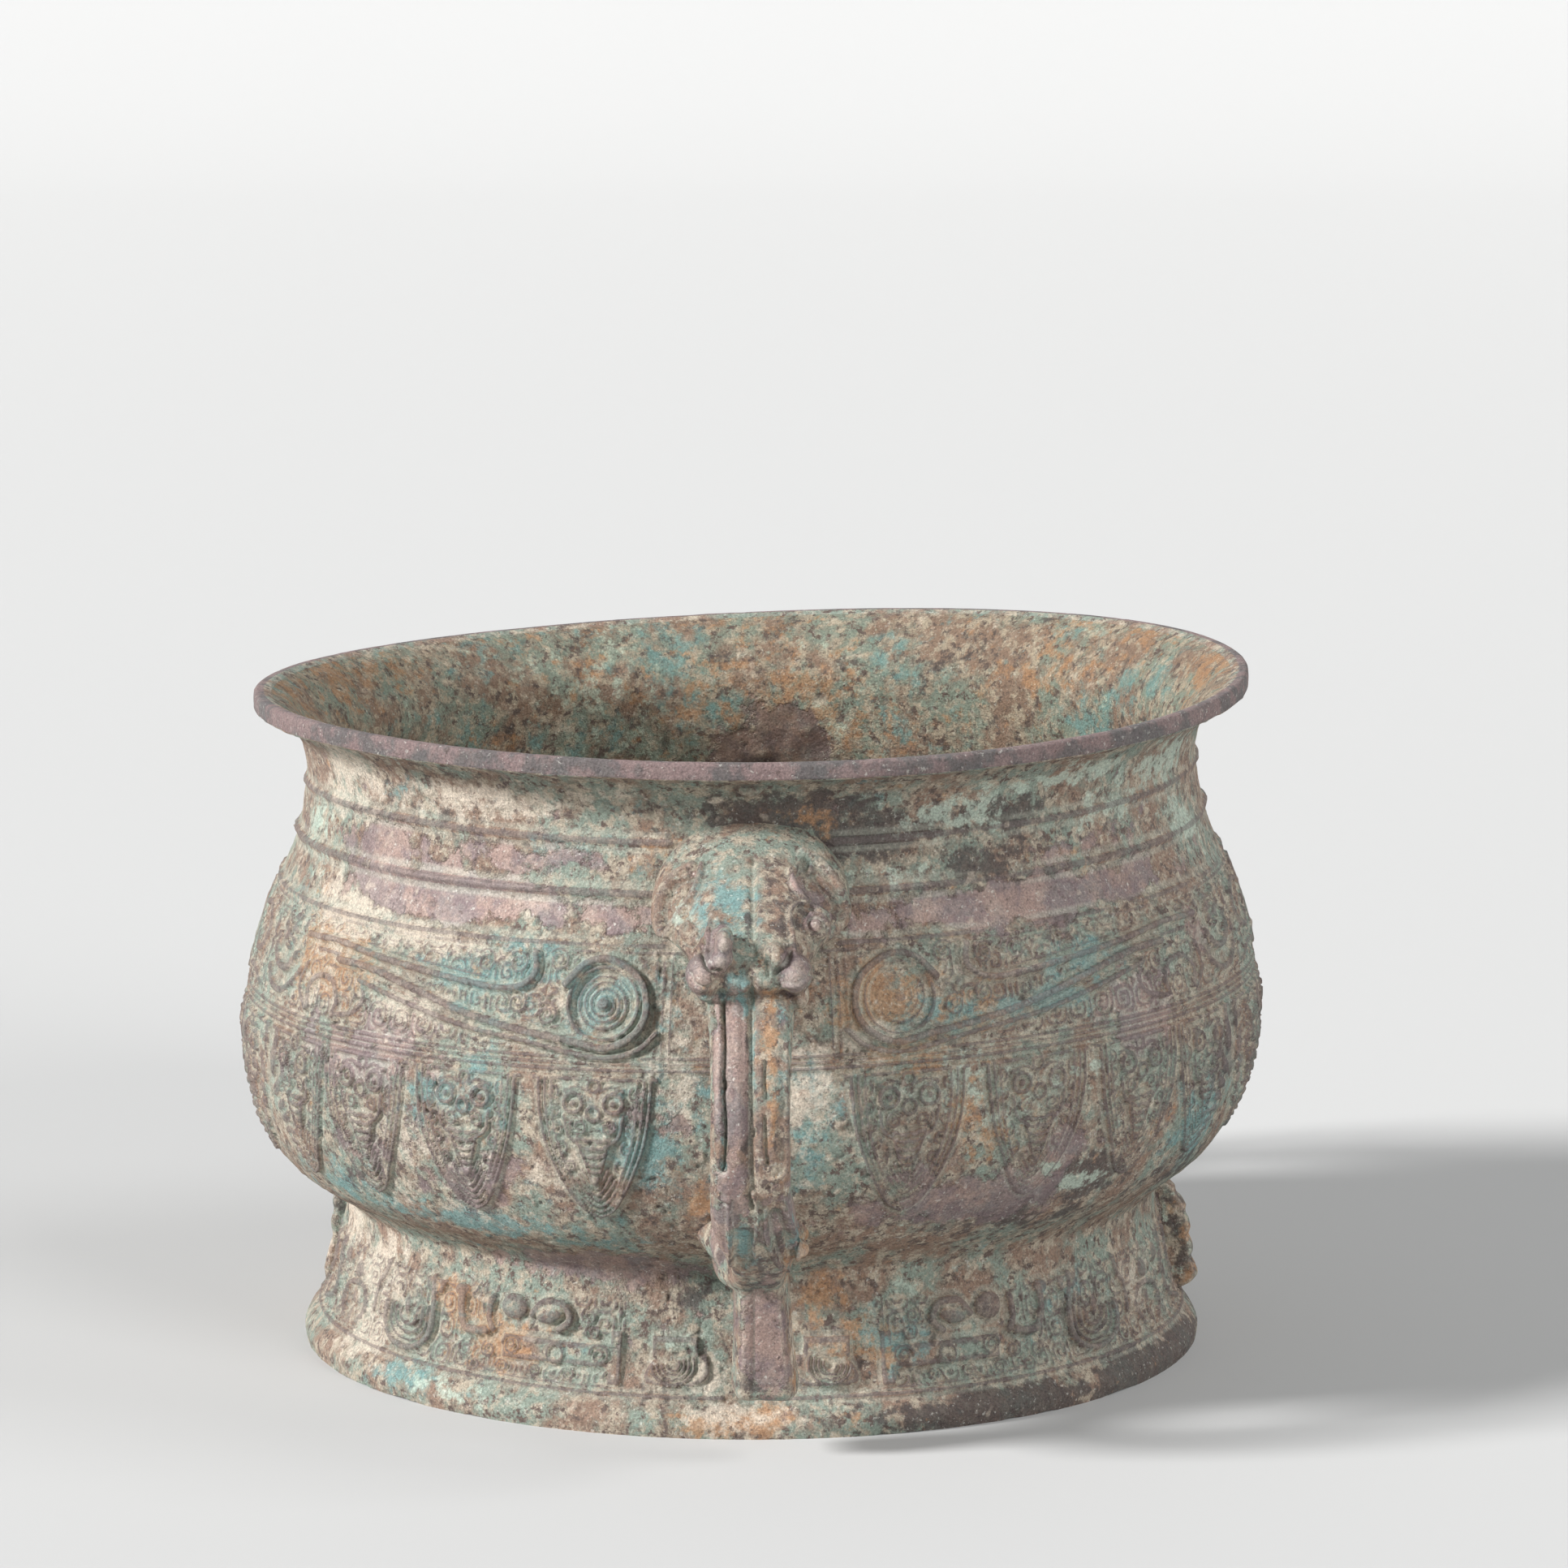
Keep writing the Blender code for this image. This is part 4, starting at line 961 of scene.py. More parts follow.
crest, wear_highlight_and_shade = value("crest"), value("wear_highlight_and_shade")
bare_lies = laid(value("purple"), 0.46, 0.62, 6.0, 3.0, 1.3)
colour = mix(ramp(grain(14.0, 8.0, 0.64, 1.0), 0.43, 0.57), (0.270, 0.180, 0.130), (0.240, 0.285, 0.232))
colour = mix(ramp(grain(3.2, 8.0, 0.66, 2.0), 0.47, 0.62), colour, (0.445, 0.375, 0.285))
colour = mix(ramp(grain(2.2, 8.0, 0.66, 17.0), 0.53, 0.61), colour, (0.130, 0.092, 0.076))
for kind, low, high, size, seed, spread, share, tint in (
    ("teal", 0.44, 0.78, 4.2, 4.0, 1.7, 0.78, (0.175, 0.335, 0.325)),
    ("dark", 0.48, 0.70, 4.0, 5.0, 1.7, 0.85, (0.085, 0.068, 0.062)),
    ("pale", 0.48, 0.74, 3.4, 6.0, 1.8, 0.78, (0.480, 0.560, 0.465)),
    ("ochre", 0.48, 0.78, 3.6, 7.0, 1.8, 0.75, (0.460, 0.250, 0.125)),
    ("cream", 0.46, 0.84, 3.6, 8.0, 1.8, 0.80, (0.660, 0.565, 0.455)),
):
    colour = mix(times(laid(value(kind), low, high, size, seed, spread), share), colour, tint)
bare_colour = mix(ramp(grain(9.0, 8.0, 0.64, 18.0), 0.44, 0.58), (0.190, 0.140, 0.142), (0.300, 0.208, 0.180))
colour = mix(times(bare_lies, 0.82), colour, bare_colour)
rim_colour = mix(ramp(grain(8.0, 8.0, 0.62, 9.0), 0.44, 0.58), (0.225, 0.155, 0.150), (0.120, 0.105, 0.105))
colour = mix(times(ramp(value("rim"), 0.3, 0.7), 0.92), colour, rim_colour)
specks = ramp(grain(1.1, 5.0, 0.65, 11.0), 0.60, 0.66)
colour = mix(times(specks, 0.42), colour, (0.66, 0.65, 0.58))
dots = ramp(grain(1.3, 5.0, 0.65, 12.0), 0.60, 0.66)
colour = mix(times(dots, 0.65), colour, (0.100, 0.066, 0.054))
colour = mix(times(ramp(crest, 0.08, 0.50), 0.62), colour, (0.165, 0.132, 0.124))
colour = mix(times(ramp(times(crest, -1.0), 0.05, 0.45), 0.34), colour, (0.440, 0.450, 0.370))
# Raised edges and lumps are painted lighter, partly as the bronze's own wear and crust and partly as a
# painted highlight; pits and creases get painted shade
colour = mix(times(ramp(wear_highlight_and_shade, 0.15, 0.9), 0.40), colour, (0.580, 0.490, 0.390))
colour = mix(times(ramp(times(wear_highlight_and_shade, -1.0), 0.15, 0.9), 0.50), colour, (0.090, 0.072, 0.066))
fine = maths("ADD", times(maths("SUBTRACT", grain(0.5, 4.0, 0.65, 13.0), 0.5), 1.9), 1.0)
colour = mix(1.0, colour, fine, "MULTIPLY")
# Painted shade: the inside of the bowl, the foot's hollow and the underside are darkened towards a warm grey,
# where shade falls
painted_inside_shade = mix(ramp(value("inside"), 0.2, 0.8), (1.0, 1.0, 1.0), (0.78, 0.76, 0.70))
colour = mix(1.0, colour, painted_inside_shade, "MULTIPLY")
tree.links.new(colour, shader.inputs["Base Color"])
tree.links.new(times(bare_lies, 0.30), shader.inputs["Metallic"])
roughness = maths("SUBTRACT", maths("ADD", times(grain(1.5, 3.0, 0.6, 14.0), 0.3), 0.60),
                  times(bare_lies, 0.22), clamp=True)
tree.links.new(roughness, shader.inputs["Roughness"])
smooth_metal = maths("SUBTRACT", 1.0, times(bare_lies, 0.65))
height = times(maths("ADD", times(grain(0.8, 6.0, 0.7, 15.0), 1.0),
                                 times(grain(2.6, 6.0, 0.66, 16.0), 1.0)), smooth_metal)
bump = node("ShaderNodeBump", Height=height, Strength=0.9, Distance=0.0008)
tree.links.new(bump.outputs["Normal"], shader.inputs["Normal"])


# The handles. They are drawn as the photograph shows them: x across and q upward, which is the
# height less the view's slope over the reach. Reach is the distance out from the bowl's axis.
# Each handle is built as the front one, and the back one is then turned round.

def front_point(x, q, reach):
    return Vector((x, -reach, q + VIEW_SLOPE * (reach - VIEW_REACH))) / 1000.0


def loft(bm, rings):
    rows = [[bm.verts.new(point) for point in ring] for ring in rings]
    for low, high in zip(rows, rows[1:]):
        for i in range(len(low)):
            j = (i + 1) % len(low)
            bm.faces.new((low[i], low[j], high[j], high[i]))
    bm.faces.new(rows[0][::-1])
    bm.faces.new(rows[-1])


def rows_through(rows, pieces=4):
    return curved([tuple(row) for row in rows], pieces)


def knob(bm, x, q, reach, size, turn=0.0):
    placed = (Matrix.Translation(front_point(x, q, reach)) @ Matrix.Rotation(math.radians(turn), 4, "Y")
              @ Matrix.Diagonal((size[0] / 1000, size[1] / 1000, size[2] / 1000, 1.0)))
    bmesh.ops.create_uvsphere(bm, u_segments=20, v_segments=12, radius=1.0, matrix=placed)


# How far out the head's hidden back lies, inside the wall
FACE_BACK = 96.0
FACE_ROWS = [
    # height, half width, reach, share of the boxed section
    (134.2, 5.0, 98.5, 0.0), (133.2, 8.6, 101.0, 0.0), (131.4, 12.4, 105.0, 0.0),
    (128.6, 15.8, 109.8, 0.0), (125.0, 18.6, 115.0, 0.0), (121.0, 20.2, 120.6, 0.0),
    (117.4, 20.9, 125.6, 0.0), (114.4, 20.9, 129.8, 0.0), (112.6, 20.3, 132.0, 0.1),
    (111.2, 18.0, 133.8, 0.3), (109.8, 15.8, 135.2, 0.5), (107.6, 13.6, 136.8, 0.8),
    (105.2, 12.2, 136.4, 1.0), (103.0, 10.4, 133.6, 1.0), (101.6, 8.4, 129.0, 1.0),
]
PROW_SECTION = [
    (-1.0, 0.0), (-1.0, 0.27), (-0.985, 0.35), (-0.93, 0.44), (-0.81, 0.55), (-0.65, 0.69), (-0.47, 0.86),
    (-0.30, 0.96), (-0.10, 1.0),
]
BOX_SECTION = [
    (-1.0, 0.0), (-1.0, 0.34), (-0.96, 0.52), (-0.90, 0.68), (-0.80, 0.82), (-0.66, 0.92), (-0.48, 0.975),
    (-0.30, 1.0), (-0.10, 1.0),
]
LOOP_EDGES = [
    # turn round the loop, left edge, right edge
    (104, -8.6, 8.6), (60, -9.0, 9.2), (30, -8.5, 8.3), (0, -8.4, 8.0), (-20, -8.4, 8.1), (-28, -8.5, 8.6),
    (-36, -7.9, 9.2), (-46, -6.0, 9.0), (-56, -4.4, 7.8), (-66, -4.0, 7.2), (-80, -5.5, 7.5),
    (-96, -8.0, 8.6), (-112, -8.6, 9.2), (-130, -9.0, 9.6),
]
# The loop runs along part of an oval: its centre, its half sizes outward and upward, and half its depth
LOOP_CENTRE, LOOP_OUT, LOOP_TALL, LOOP_DEEP = (112.0, 74.0), 27.6, 32.0, 6.0
LOOP_START, LOOP_SWEEP, LOOP_STEPS = 104, 234, 60
LOOP_SECTION = [
    (-1.0, -0.5), (-1.0, 0.30), (-0.95, 0.62), (-0.84, 0.84), (-0.62, 0.96), (-0.30, 1.0), (0.0, 1.0),
    (0.30, 1.0), (0.62, 0.96), (0.84, 0.84), (0.95, 0.62), (1.0, 0.30), (1.0, -0.5), (0.80, -0.86),
    (0.40, -1.0), (-0.40, -1.0), (-0.80, -0.86),
]
WEB_ROWS = [
    # reach, half width, half height, height: how the loop's foot spreads on to the belly
    (97.0, 17.0, 8.6, 50.5), (99.5, 15.6, 8.2, 49.6), (102.0, 13.8, 8.0, 48.4), (104.5, 12.2, 7.8, 47.2),
    (107.5, 10.6, 7.4, 46.0), (111.0, 9.2, 6.6, 45.0), (116.0, 8.0, 5.8, 44.2),
]
PENDANT_ROWS = [
    # height, left, right, front reach, back reach
    (45.0, -4.6, 8.4, 126.0, 111.0), (41.5, -3.0, 7.2, 124.2, 110.4), (38.0, -2.4, 6.6, 122.6, 110.0),
    (30.0, -2.3, 7.0, 121.6, 109.4), (22.0, -2.5, 7.8, 120.9, 109.0), (16.4, -2.7, 8.5, 120.2, 108.8),
    (13.8, -2.6, 8.5, 119.4, 109.2), (13.0, -1.9, 7.9, 117.8, 110.4),
]


KNOBS = [
    # x, q, reach, half sizes, turn: eyes, nostrils, cheeks, the corners of the jaw and a claw
    (-13.0, 109.6, 117.0, (2.8, 4.6, 3.8), 12), (13.2, 110.0, 117.0, (3.2, 5.0, 3.6), 0),
    (-5.6, 106.2, 132.8, (2.1, 5.4, 3.2), 7), (-6.1, 102.8, 133.3, (2.6, 5.0, 3.5), 9),
    (5.3, 103.0, 132.6, (2.3, 5.0, 3.4), -28), (-9.6, 99.6, 131.8, (4.0, 6.6, 4.6), 0),
    (9.1, 99.4, 131.8, (3.7, 6.6, 4.3), 0), (-8.8, 96.0, 130.6, (2.6, 4.8, 2.2), 0),
    (10.1, 94.8, 129.6, (2.0, 4.4, 3.0), 0), (9.8, 41.2, 129.6, (2.4, 4.8, 1.8), 18),
]
PENDANT_SECTION = [
    # across, depth, how much wider than the row
    (-1, 0.0, 1.6), (-1, 0.55, 1.0), (-1, 0.90, 0.15), (-0.9, 1.0, -0.2), (0.0, 1.0, 0.0), (0.9, 1.0, -0.2),
    (1, 0.90, 0.15), (1, 0.55, 1.0), (1, 0.0, 1.6), (0.0, 0.0, 0.0),
]


def handle_mesh(voxel):
    """The plain forms of a handle grown together into one skin."""
    bm = bmesh.new()
    rings = []
    for z, half, reach, boxed in rows_through(FACE_ROWS, 3):
        section = np.array(PROW_SECTION) * (1 - boxed) + np.array(BOX_SECTION) * boxed
        section = [*section, *(section[::-1] * (-1, 1))]
        rings.append([Vector((half * a, -(FACE_BACK + (reach - FACE_BACK) * b), z)) / 1000
                      for a, b in section])
    loft(bm, rings)
    for x, q, reach, size, turn in KNOBS:
        knob(bm, x, q, reach, size, turn)
    edges = np.array(LOOP_EDGES, float)[::-1]
    rings = []
    for step in range(LOOP_STEPS + 1):
        degrees = LOOP_START - LOOP_SWEEP * step / LOOP_STEPS
        turn = math.radians(degrees)
        left, right = (float(line_through(edges[:, 0], edges[:, k], np.array([degrees]))[0]) for k in (1, 2))
        centre = np.array([LOOP_CENTRE[0] + LOOP_OUT * math.cos(turn),
                           LOOP_CENTRE[1] + LOOP_TALL * math.sin(turn)])
        along = np.array([-LOOP_OUT * math.sin(turn), LOOP_TALL * math.cos(turn)])
        out = np.array([along[1], -along[0]]) / np.hypot(*along)
        middle, half = (left + right) / 2, (right - left) / 2
        rings.append([
            Vector((middle + half * a, -(centre[0] + LOOP_DEEP * out[0] * b),
                    centre[1] + LOOP_DEEP * out[1] * b)) / 1000
            for a, b in LOOP_SECTION
        ])
    loft(bm, rings)
    rings = []
    for reach, half, tall, z in rows_through(WEB_ROWS, 4):
        turns = [2 * math.pi * k / 28 for k in range(28)]
        rings.append([Vector((0.3 + half * math.cos(t), -reach, z + tall * math.sin(t))) / 1000
                      for t in turns])
    loft(bm, rings)
    rings = []
    for z, left, right, face, back in rows_through(PENDANT_ROWS, 4):
        middle, half = (left + right) / 2, (right - left) / 2
        deep = face - back
        rings.append([
            Vector((middle + (half + wide) * a, -(back + deep * b), z)) / 1000
            for a, b, wide in PENDANT_SECTION
        ])
    loft(bm, rings)
    bmesh.ops.recalc_face_normals(bm, faces=bm.faces)
    mesh = bpy.data.meshes.new("handle_forms")
    bm.to_mesh(mesh)
    bm.free()
    return remeshed(mesh, voxel)


def remeshed(mesh, voxel):
    """One closed skin over overlapping forms, as points in millimetres and faces."""
    thing = bpy.data.objects.new("forms", mesh)
    bpy.context.scene.collection.objects.link(thing)
    modifier = thing.modifiers.new("skin", "REMESH")
    modifier.mode, modifier.voxel_size, modifier.adaptivity = "VOXEL", voxel / 1000, 0.0
    skin = bpy.data.meshes.new_from_object(thing.evaluated_get(bpy.context.evaluated_depsgraph_get()))
    bpy.data.objects.remove(thing)
    points = np.empty(len(skin.vertices) * 3)
    skin.vertices.foreach_get("co", points)
    faces = [tuple(face.vertices) for face in skin.polygons]
    ends = np.empty(len(skin.edges) * 2, np.int64)
    skin.edges.foreach_get("vertices", ends)
    bpy.data.meshes.remove(skin)
    return points.reshape(-1, 3) * 1000, faces, ends.reshape(-1, 2)


def neighbours_mean(points, ends):
    count = np.bincount(ends.ravel(), minlength=len(points))[:, None]
    total = np.zeros_like(points)
    for k in range(points.shape[1]):
        total[:, k] = (np.bincount(ends[:, 0], points[ends[:, 1], k], len(points))
                       + np.bincount(ends[:, 1], points[ends[:, 0], k], len(points)))
    return total / np.maximum(count, 1)


def smoothed(points, ends, rounds, amount=0.5):
    for _ in range(rounds):
        points = points + amount * (neighbours_mean(points, ends) - points)
    return points


def normals_of(points, faces):
    quads = np.array([face if len(face) == 4 else (*face, face[2]) for face in faces])
    a, b, c, d = (points[quads[:, k]] for k in range(4))
    face_normal = np.cross(c - a, d - b)
    total = np.zeros_like(points)
    for k in range(4):
        for axis in range(3):
            total[:, axis] += np.bincount(quads[:, k], face_normal[:, axis], len(points))
    return total / (np.linalg.norm(total, axis=1, keepdims=True) + 1e-12)


def handle_chart():
    """Everything that is cut into or raised on the face of a handle, as the photograph shows it."""
    chart = Chart(-24, 24, 2, 136, 0.1)
    # Head: the groove down its middle, the brows, the leaf in each horn and the eyes
    chart.groove([(0.6, 125.5), (0.4, 118), (0.6, 111), (0.6, 104.0)], 1.2, 0.7, soft=1.2)
    chart.plate([(-0.2, 124.2), (0.5, 118), (0.7, 110), (0.3, 104), (-2.5, 104.0), (-5.6, 110), (-7.4, 118),
                 (-7.6, 122.6)], 0.45, soft=2.6, sink=True)
    chart.plate([(-12.0, 122.2), (-11.7, 119.4), (-14.6, 114.8), (-17.4, 109.8), (-18.5, 111.5),
                 (-18.8, 117.2), (-16.2, 120.6)], 1.0, soft=0.7, sink=True)
    chart.line([(-10.0, 124.2), (-11.0, 119.8), (-12.4, 117.0), (-15.4, 112.4), (-17.4, 109.0)], 1.1, 0.95,
               soft=0.6)
    chart.line([(-12.0, 124.4), (-16.2, 122.2), (-19.2, 117.6), (-19.6, 112.4), (-18.4, 109.2)], 1.3, 0.85,
               soft=0.8)
    chart.groove([(-17.4, 118.6), (-17.6, 115.4), (-16.2, 114.2), (-14.6, 117.0), (-13.6, 120.0)], 0.5, 0.35)
    chart.plate([(9.2, 121.0), (11.0, 125.6), (12.4, 125.2), (12.0, 122.6), (13.8, 121.8), (15.8, 118.6),
                 (17.9, 115.6), (17.4, 113.4), (15.3, 113.2), (11.8, 116.4)], 0.95, soft=0.6, sink=True)
    chart.line([(10.6, 127.2), (14.8, 124.6), (18.6, 118.6), (19.6, 114.2), (18.6, 112.2)], 1.3, 0.85,
               soft=0.8)
    chart.line([(8.0, 122.6), (9.4, 118.4), (12.6, 114.4), (16.9, 111.6)], 1.0, 0.85, soft=0.5)
    chart.groove([(-13.4, 113.6), (-10.9, 108.6), (-12.5, 105.8), (-15.4, 108.6), (-13.4, 113.6)], 0.6, 0.5)
    chart.ring(-13.1, 109.4, 1.5, 0.5, 0.35)
    chart.ring(13.2, 110.1, 2.3, 0.7, 0.75)
    chart.dome(13.3, 109.9, 1.5, 1.5, 0.55)
    chart.line([(7.9, 112.9), (9.8, 114.9), (13.6, 113.6), (16.9, 109.9)], 0.8, 0.6)
    chart.line([(7.9, 112.8), (8.5, 107.8), (8.9, 103.5)], 0.9, 0.55, soft=0.6)
    chart.line([(-8.0, 113.0), (-9.0, 108.4), (-9.4, 104.4)], 0.9, 0.5, soft=0.6)
    # Muzzle: the mouth's hollow, the nostrils' curls and the cheeks' rims
    chart.dome(-2.4, 98.6, 3.0, 3.6, -0.8)
    chart.groove([(-9.6, 107.0), (-9.9, 103.4), (-8.6, 100.4), (-6.4, 99.8)], 0.8, 0.8, soft=0.6)
    chart.groove([(-12.6, 99.8), (-11.6, 97.2), (-9.0, 96.4), (-7.0, 97.6)], 0.6, 0.6, soft=0.5)
    chart.groove([(4.0, 105.2), (3.4, 102.0), (3.6, 99.0)], 0.8, 0.6, soft=0.6)
    chart.groove([(8.2, 104.0), (7.2, 101.4), (5.0, 99.2)], 0.8, 0.7, soft=0.6)
    chart.line([(6.6, 96.6), (9.6, 96.4), (12.2, 98.4)], 0.6, 0.5)
    # Loop: the groove down its middle, the long slits and the border
    chart.groove([(0.1, 98.0), (0.1, 80.0), (0.0, 62.0), (0.2, 50.0)], 1.3, 1.15, soft=1.6)
    chart.plate([(-2.4, 95), (0.2, 95), (0.2, 56), (-1.6, 56)], 0.45, soft=1.2, sink=True)
    chart.groove([(-5.9, 93.6), (-5.6, 84.0), (-5.8, 75.0), (-5.4, 66.0), (-5.7, 60.0), (-6.2, 57.6)], 0.75,
                 1.5, soft=0.45)
    chart.dome(-5.6, 75.6, 1.0, 1.6, -0.9)
    chart.groove([(-7.9, 91.6), (-7.3, 88.0)], 0.5, 0.7)
    chart.groove([(-8.2, 74.0), (-8.0, 60.0), (-6.8, 57.2), (-5.4, 57.0), (-5.2, 59.0)], 0.7, 0.7, soft=0.5)
    chart.groove([(2.9, 80.3), (2.8, 76.0), (3.0, 72.6)], 0.55, 0.85, soft=0.4)
    chart.groove([(2.8, 68.4), (3.0, 62.5), (3.4, 58.6)], 0.6, 1.0, soft=0.4)
    chart.groove([(0.9, 66.0), (0.7, 64.4)], 0.7, 0.7)
    chart.line([(7.0, 84.0), (7.2, 70.0), (7.0, 58.4), (5.8, 55.8), (3.9, 55.4)], 0.6, 0.55, soft=0.5)
    chart.groove([(6.5, 71.0), (5.4, 66.5), (6.2, 60.0)], 1.2, 0.35, soft=0.8)
    # Lower loop: the claws and the leaf beside the pendant
    chart.groove([(-8.6, 53.2), (-7.0, 51.4), (-5.0, 50.2)], 0.7, 0.9, soft=0.5)
    chart.line([(-7.9, 54.0), (-6.4, 52.2), (-4.6, 51.2)], 0.9, 0.6, soft=0.5)
    chart.line([(-4.6, 50.2), (-4.5, 44.0), (-4.3, 37.8)], 0.8, 0.55, soft=0.5)
    chart.plate([(-3.6, 45.2), (0.3, 45.0), (0.6, 41.4), (0.2, 38.2), (-2.4, 36.8), (-3.8, 39.0)], 0.8,
                soft=0.6, sink=True)
    chart.line([(0.4, 52.6), (1.5, 48.8), (1.2, 45.0), (0.6, 41.8), (0.8, 39.2)], 0.7, 0.5)
    chart.plate([(3.4, 48.8), (3.5, 44.7), (4.6, 40.8), (6.6, 37.8), (8.4, 37.6), (9.0, 40.9), (6.9, 46.4),
                 (6.1, 49.1)], 1.2, soft=0.6, sink=True)
    chart.line([(2.9, 49.2), (3.0, 44.4), (4.2, 40.0), (6.0, 37.0)], 0.9, 0.55, soft=0.5)
    chart.line([(6.6, 49.8), (7.8, 46.4), (9.6, 41.6), (9.4, 38.0), (7.4, 36.6)], 0.9, 0.75, soft=0.5)
    # Pendant: a low bar down its left half
    chart.groove([(0.6, 33.0), (0.6, 12.0)], 0.8, 0.3, soft=0.9, smooth=False)
    return chart


HANDLE_PATCHES = {
    # x, q, half width, half height, strength
    "cream": [
        (-19, 116, 2, 8, 0.5), (-4, 127, 8, 3, 0.5), (14, 126, 8, 4, 0.4), (-17, 108, 4, 3, 0.5),
        (-4.6, 92, 1.6, 4, 0.5), (4, 116, 3, 7, 0.4), (16, 104, 4, 5, 0.5), (14, 36, 4, 6, 0.6),
        (8.6, 22, 0.9, 12, 0.8), (4, 88, 3, 8, 0.5),
    ],
    "ochre": [
        (3.5, 84, 2.6, 12, 0.6), (4.4, 68, 2.2, 10, 0.6), (6, 55, 2, 3, 0.5), (-4.5, 53, 1, 3, 0.7),
        (13, 37, 5, 7, 0.8), (9.4, 24, 1.2, 12, 0.7), (2, 102, 1.4, 3, 0.5),
    ],
    "purple": [
        (-3.4, 76, 2.8, 20, 1.0), (-7.0, 78, 1.2, 16, 0.8), (-3, 54, 5, 8, 0.8), (-7, 104, 3, 5, 1.1),
        (-11, 99.5, 2.6, 4, 1.1), (-14, 118, 4, 6, 0.5), (9, 100, 3.4, 4.4, 1.1), (14, 116, 3, 5, 0.7),
        (13.4, 110, 3, 3, 0.8), (5, 48, 5, 8, 0.8), (2, 24, 5, 10, 0.9), (-7, 44, 2, 7, 0.8),
        (10, 118, 3, 6, 0.6), (5, 112, 4, 9, 0.4),
    ],
    "teal": [
        (-4, 116, 4, 8, 0.6), (-2.5, 96.5, 2.4, 3, 0.9), (-2, 93, 2, 3, 0.9), (-5.7, 76, 0.7, 14, 0.9),
        (0.4, 86, 0.8, 14, 0.6), (6.4, 86, 1.6, 10, 0.6), (-10.5, 113, 2.2, 8, 0.6), (9, 45, 1, 5, 0.9),
        (-2, 41, 2.4, 4, 0.8), (-6.4, 57, 1.6, 2, 0.9), (-6, 94, 3, 2, 0.7),
    ],
    "pale": [
        (-15, 115, 4, 8, 0.6), (13, 120, 4, 6, 0.4), (2, 31, 4, 4, 0.5), (-9, 90, 2, 6, 0.5),
        (5, 78, 3, 10, 0.5),
    ],
    # The narrow dark strips beside the middle grooves of the loop and of the head, and the strip along the
    # pendant's lower edge, are painted shade
    "dark": [
        (-1.2, 72, 0.9, 14, 0.8), (-0.6, 114, 1.0, 8, 0.6), (3, 25, 5, 12, 0.6), (-5, 115, 3, 8, 0.4),
        (9, 113, 6, 9, 0.55), (9, 104, 3, 4, 0.5), (6.2, 43, 1.6, 4, 0.9), (0.6, 44, 1.2, 6, 0.5),
        (2, 12, 6, 1.6, 0.6), (7, 66, 1, 4, 0.4),
    ],
}


def handle(name, voxel, front):
    points, faces, ends = handle_mesh(voxel)
    points = smoothed(points, ends, 5)
    normal = normals_of(points, faces)
    toward = normal @ np.array([0.0, -math.cos(ELEVATION), math.sin(ELEVATION)])
    bend = -((neighbours_mean(points, ends) - points) * normal).sum(1)
    x, reach = points[:, 0], -points[:, 1]
    q = points[:, 2] - VIEW_SLOPE * (reach - VIEW_REACH)
    cut = 1.25 * HANDLE.read(x, q) * step_up(toward, 0.0, 0.28)
    if not front:
        cut *= 0.85
    soft_cut = smoothed(cut[:, None], ends, 10)[:, 0]
    rough = 0.20 * layered(points, 11.0, 105, 3) + 0.09 * layered(points, 1.5, 109, 2)
    rough -= 0.9 * np.clip(noise(points, 1.8, 111) - 0.72, 0, 1)
    moved = points + normal * (cut + rough)[:, None]
    radius = np.hypot(moved[:, 0], moved[:, 1])
    middle = radius_at(np.clip(moved[:, 2], 36, 144)) - WALL / 2
    push = np.where((radius < middle) & (moved[:, 2] > 36), middle / np.maximum(radius, 1e-6), 1.0)
    moved[:, :2] *= push[:, None]
    # Bends: raised edges painted lighter, partly as rubbed bronze and partly as a painted highlight, and
    # creases painted with shade
    values = {"crest": np.clip((cut - soft_cut) * 1.5, -1, 0.3), "wear_highlight_and_shade": np.clip(bend * 22, -1, 1),
              "rim": np.zeros(len(points)), "inside": np.zeros(len(points))}
    for seed, (kind, rows) in enumerate(HANDLE_PATCHES.items()):
        total = np.zeros(len(points))
        for px, pq, wide, tall, strength in rows:
            d = ((x - px) / wide) ** 2 + ((q - pq) / tall) ** 2
            total = np.maximum(total, strength * np.exp(-d * PATCH_FALL))
        total *= np.where(toward > -0.2, 1.0, 0.4)
        share = EVERYWHERE[kind][0] * (0.4 if kind in ("cream", "pale") else 1.0)
        values[kind] = np.clip(0.75 * total + share + 0.34 * layered(points, 9.0, 140 + seed * 5, 4, 0.6),
                               0, 1)
    if not front:
        moved = moved * np.array([-1.0, -1.0, 1.0])
    return make_piece(name, settled(moved), faces, values)


# The flanges on the foot, each a fin with an uneven edge that is rounded towards both faces past the root

FLANGE_ROOT, FLANGE_VOXEL = 92.5, 0.5


